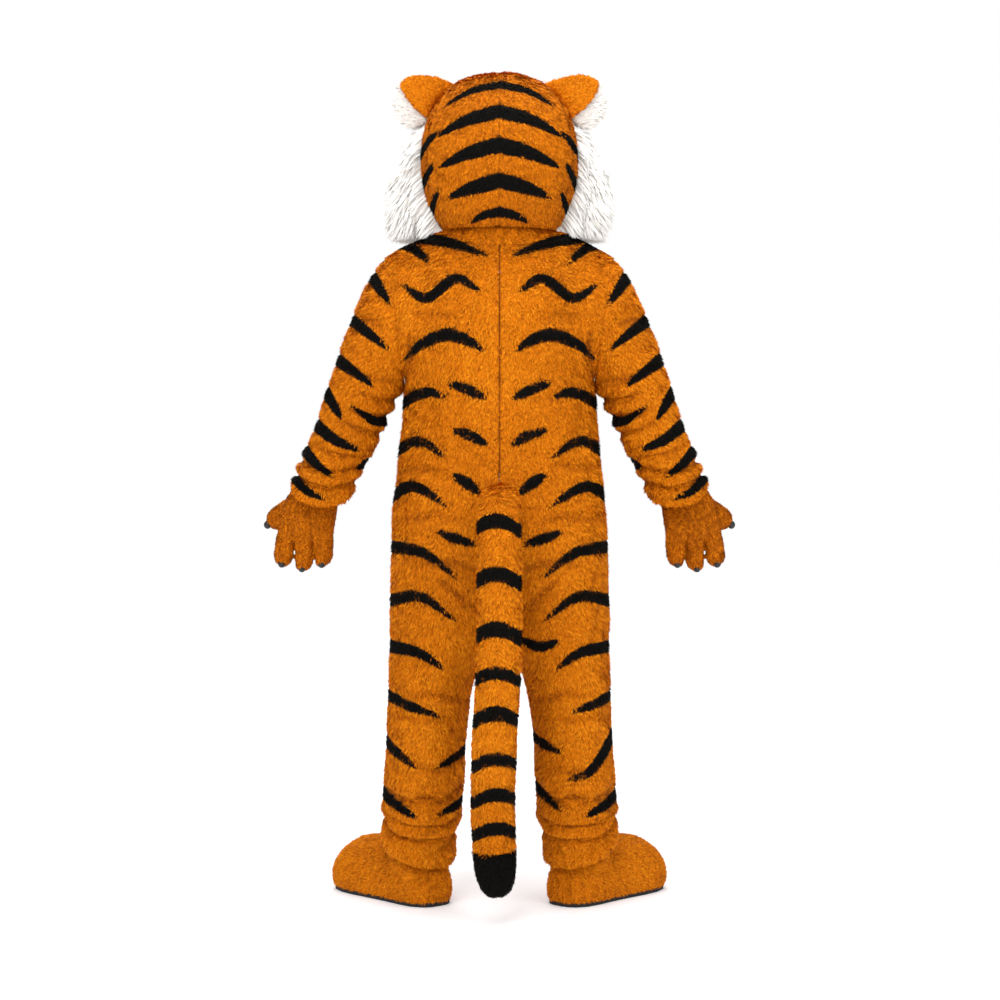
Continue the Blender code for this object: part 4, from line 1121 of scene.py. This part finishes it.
def studio_world():
    """White to the camera, and a softer light on the costume."""
    world = bpy.data.worlds.new("studio")
    world.use_nodes = True
    nodes, links = world.node_tree.nodes, world.node_tree.links
    background = nodes["Background"]
    background.inputs["Color"].default_value = (1, 1, 1, 1)
    background.inputs["Strength"].default_value = 0.55
    seen = nodes.new("ShaderNodeBackground")
    seen.inputs["Color"].default_value = (1, 1, 1, 1)
    seen.inputs["Strength"].default_value = 1.0
    path, mix = nodes.new("ShaderNodeLightPath"), nodes.new("ShaderNodeMixShader")
    links.new(path.outputs["Is Camera Ray"], mix.inputs["Fac"])
    links.new(background.outputs["Background"], mix.inputs[1])
    links.new(seen.outputs["Background"], mix.inputs[2])
    links.new(mix.outputs["Shader"], nodes["World Output"].inputs["Surface"])
    bpy.context.scene.world = world


def studio_lights():
    """Four soft lights: place, size, power and aim."""
    for name, place, size, power, aim in (
            ("key_light", (1.2, 3.2, 2.2), 2.2, 92, (0, 0, -0.3)),
            ("fill_light", (-2.2, 3.0, 1.2), 2.4, 46, (0, 0, -0.6)),
            ("front_light", (0.5, -3.4, 1.8), 2.6, 70, (0, 0, -0.4)),
            ("top_light", (0.0, 0.3, 2.4), 1.8, 55, (0, 0, 0))):
        lamp = bpy.data.lights.new(name, "AREA")
        lamp.size = size
        lamp.energy = power
        light = bpy.data.objects.new(name, lamp)
        light.location = place
        light.rotation_euler = (Vector(aim) - Vector(place)).to_track_quat("-Z", "Y").to_euler()
        bpy.context.scene.collection.objects.link(light)


def studio_camera():
    """The camera, level behind the costume at hip height."""
    scene = bpy.context.scene
    scene.view_settings.view_transform = "Standard"
    lens = bpy.data.cameras.new("camera")
    lens.lens = CAMERA_LENS
    lens.sensor_width = 36
    camera = bpy.data.objects.new("camera", lens)
    camera.location = (CAMERA_PLACE[0], CAMERA_PLACE[1], CAMERA_PLACE[2] + FLOOR)
    camera.rotation_euler = (math.radians(90), 0, math.radians(180))
    scene.collection.objects.link(camera)
    scene.camera = camera


# ---------------------------------------------------------------- the costume

studio_floor()
studio_world()
studio_lights()
studio_camera()
jumpsuit()
tail()
side_skins = head()
hands_and_feet()
for cheek_side, cheek_number in sides():
    cheek_fur(cheek_side, cheek_number, side_skins[cheek_side])
claws()
hard_pieces()
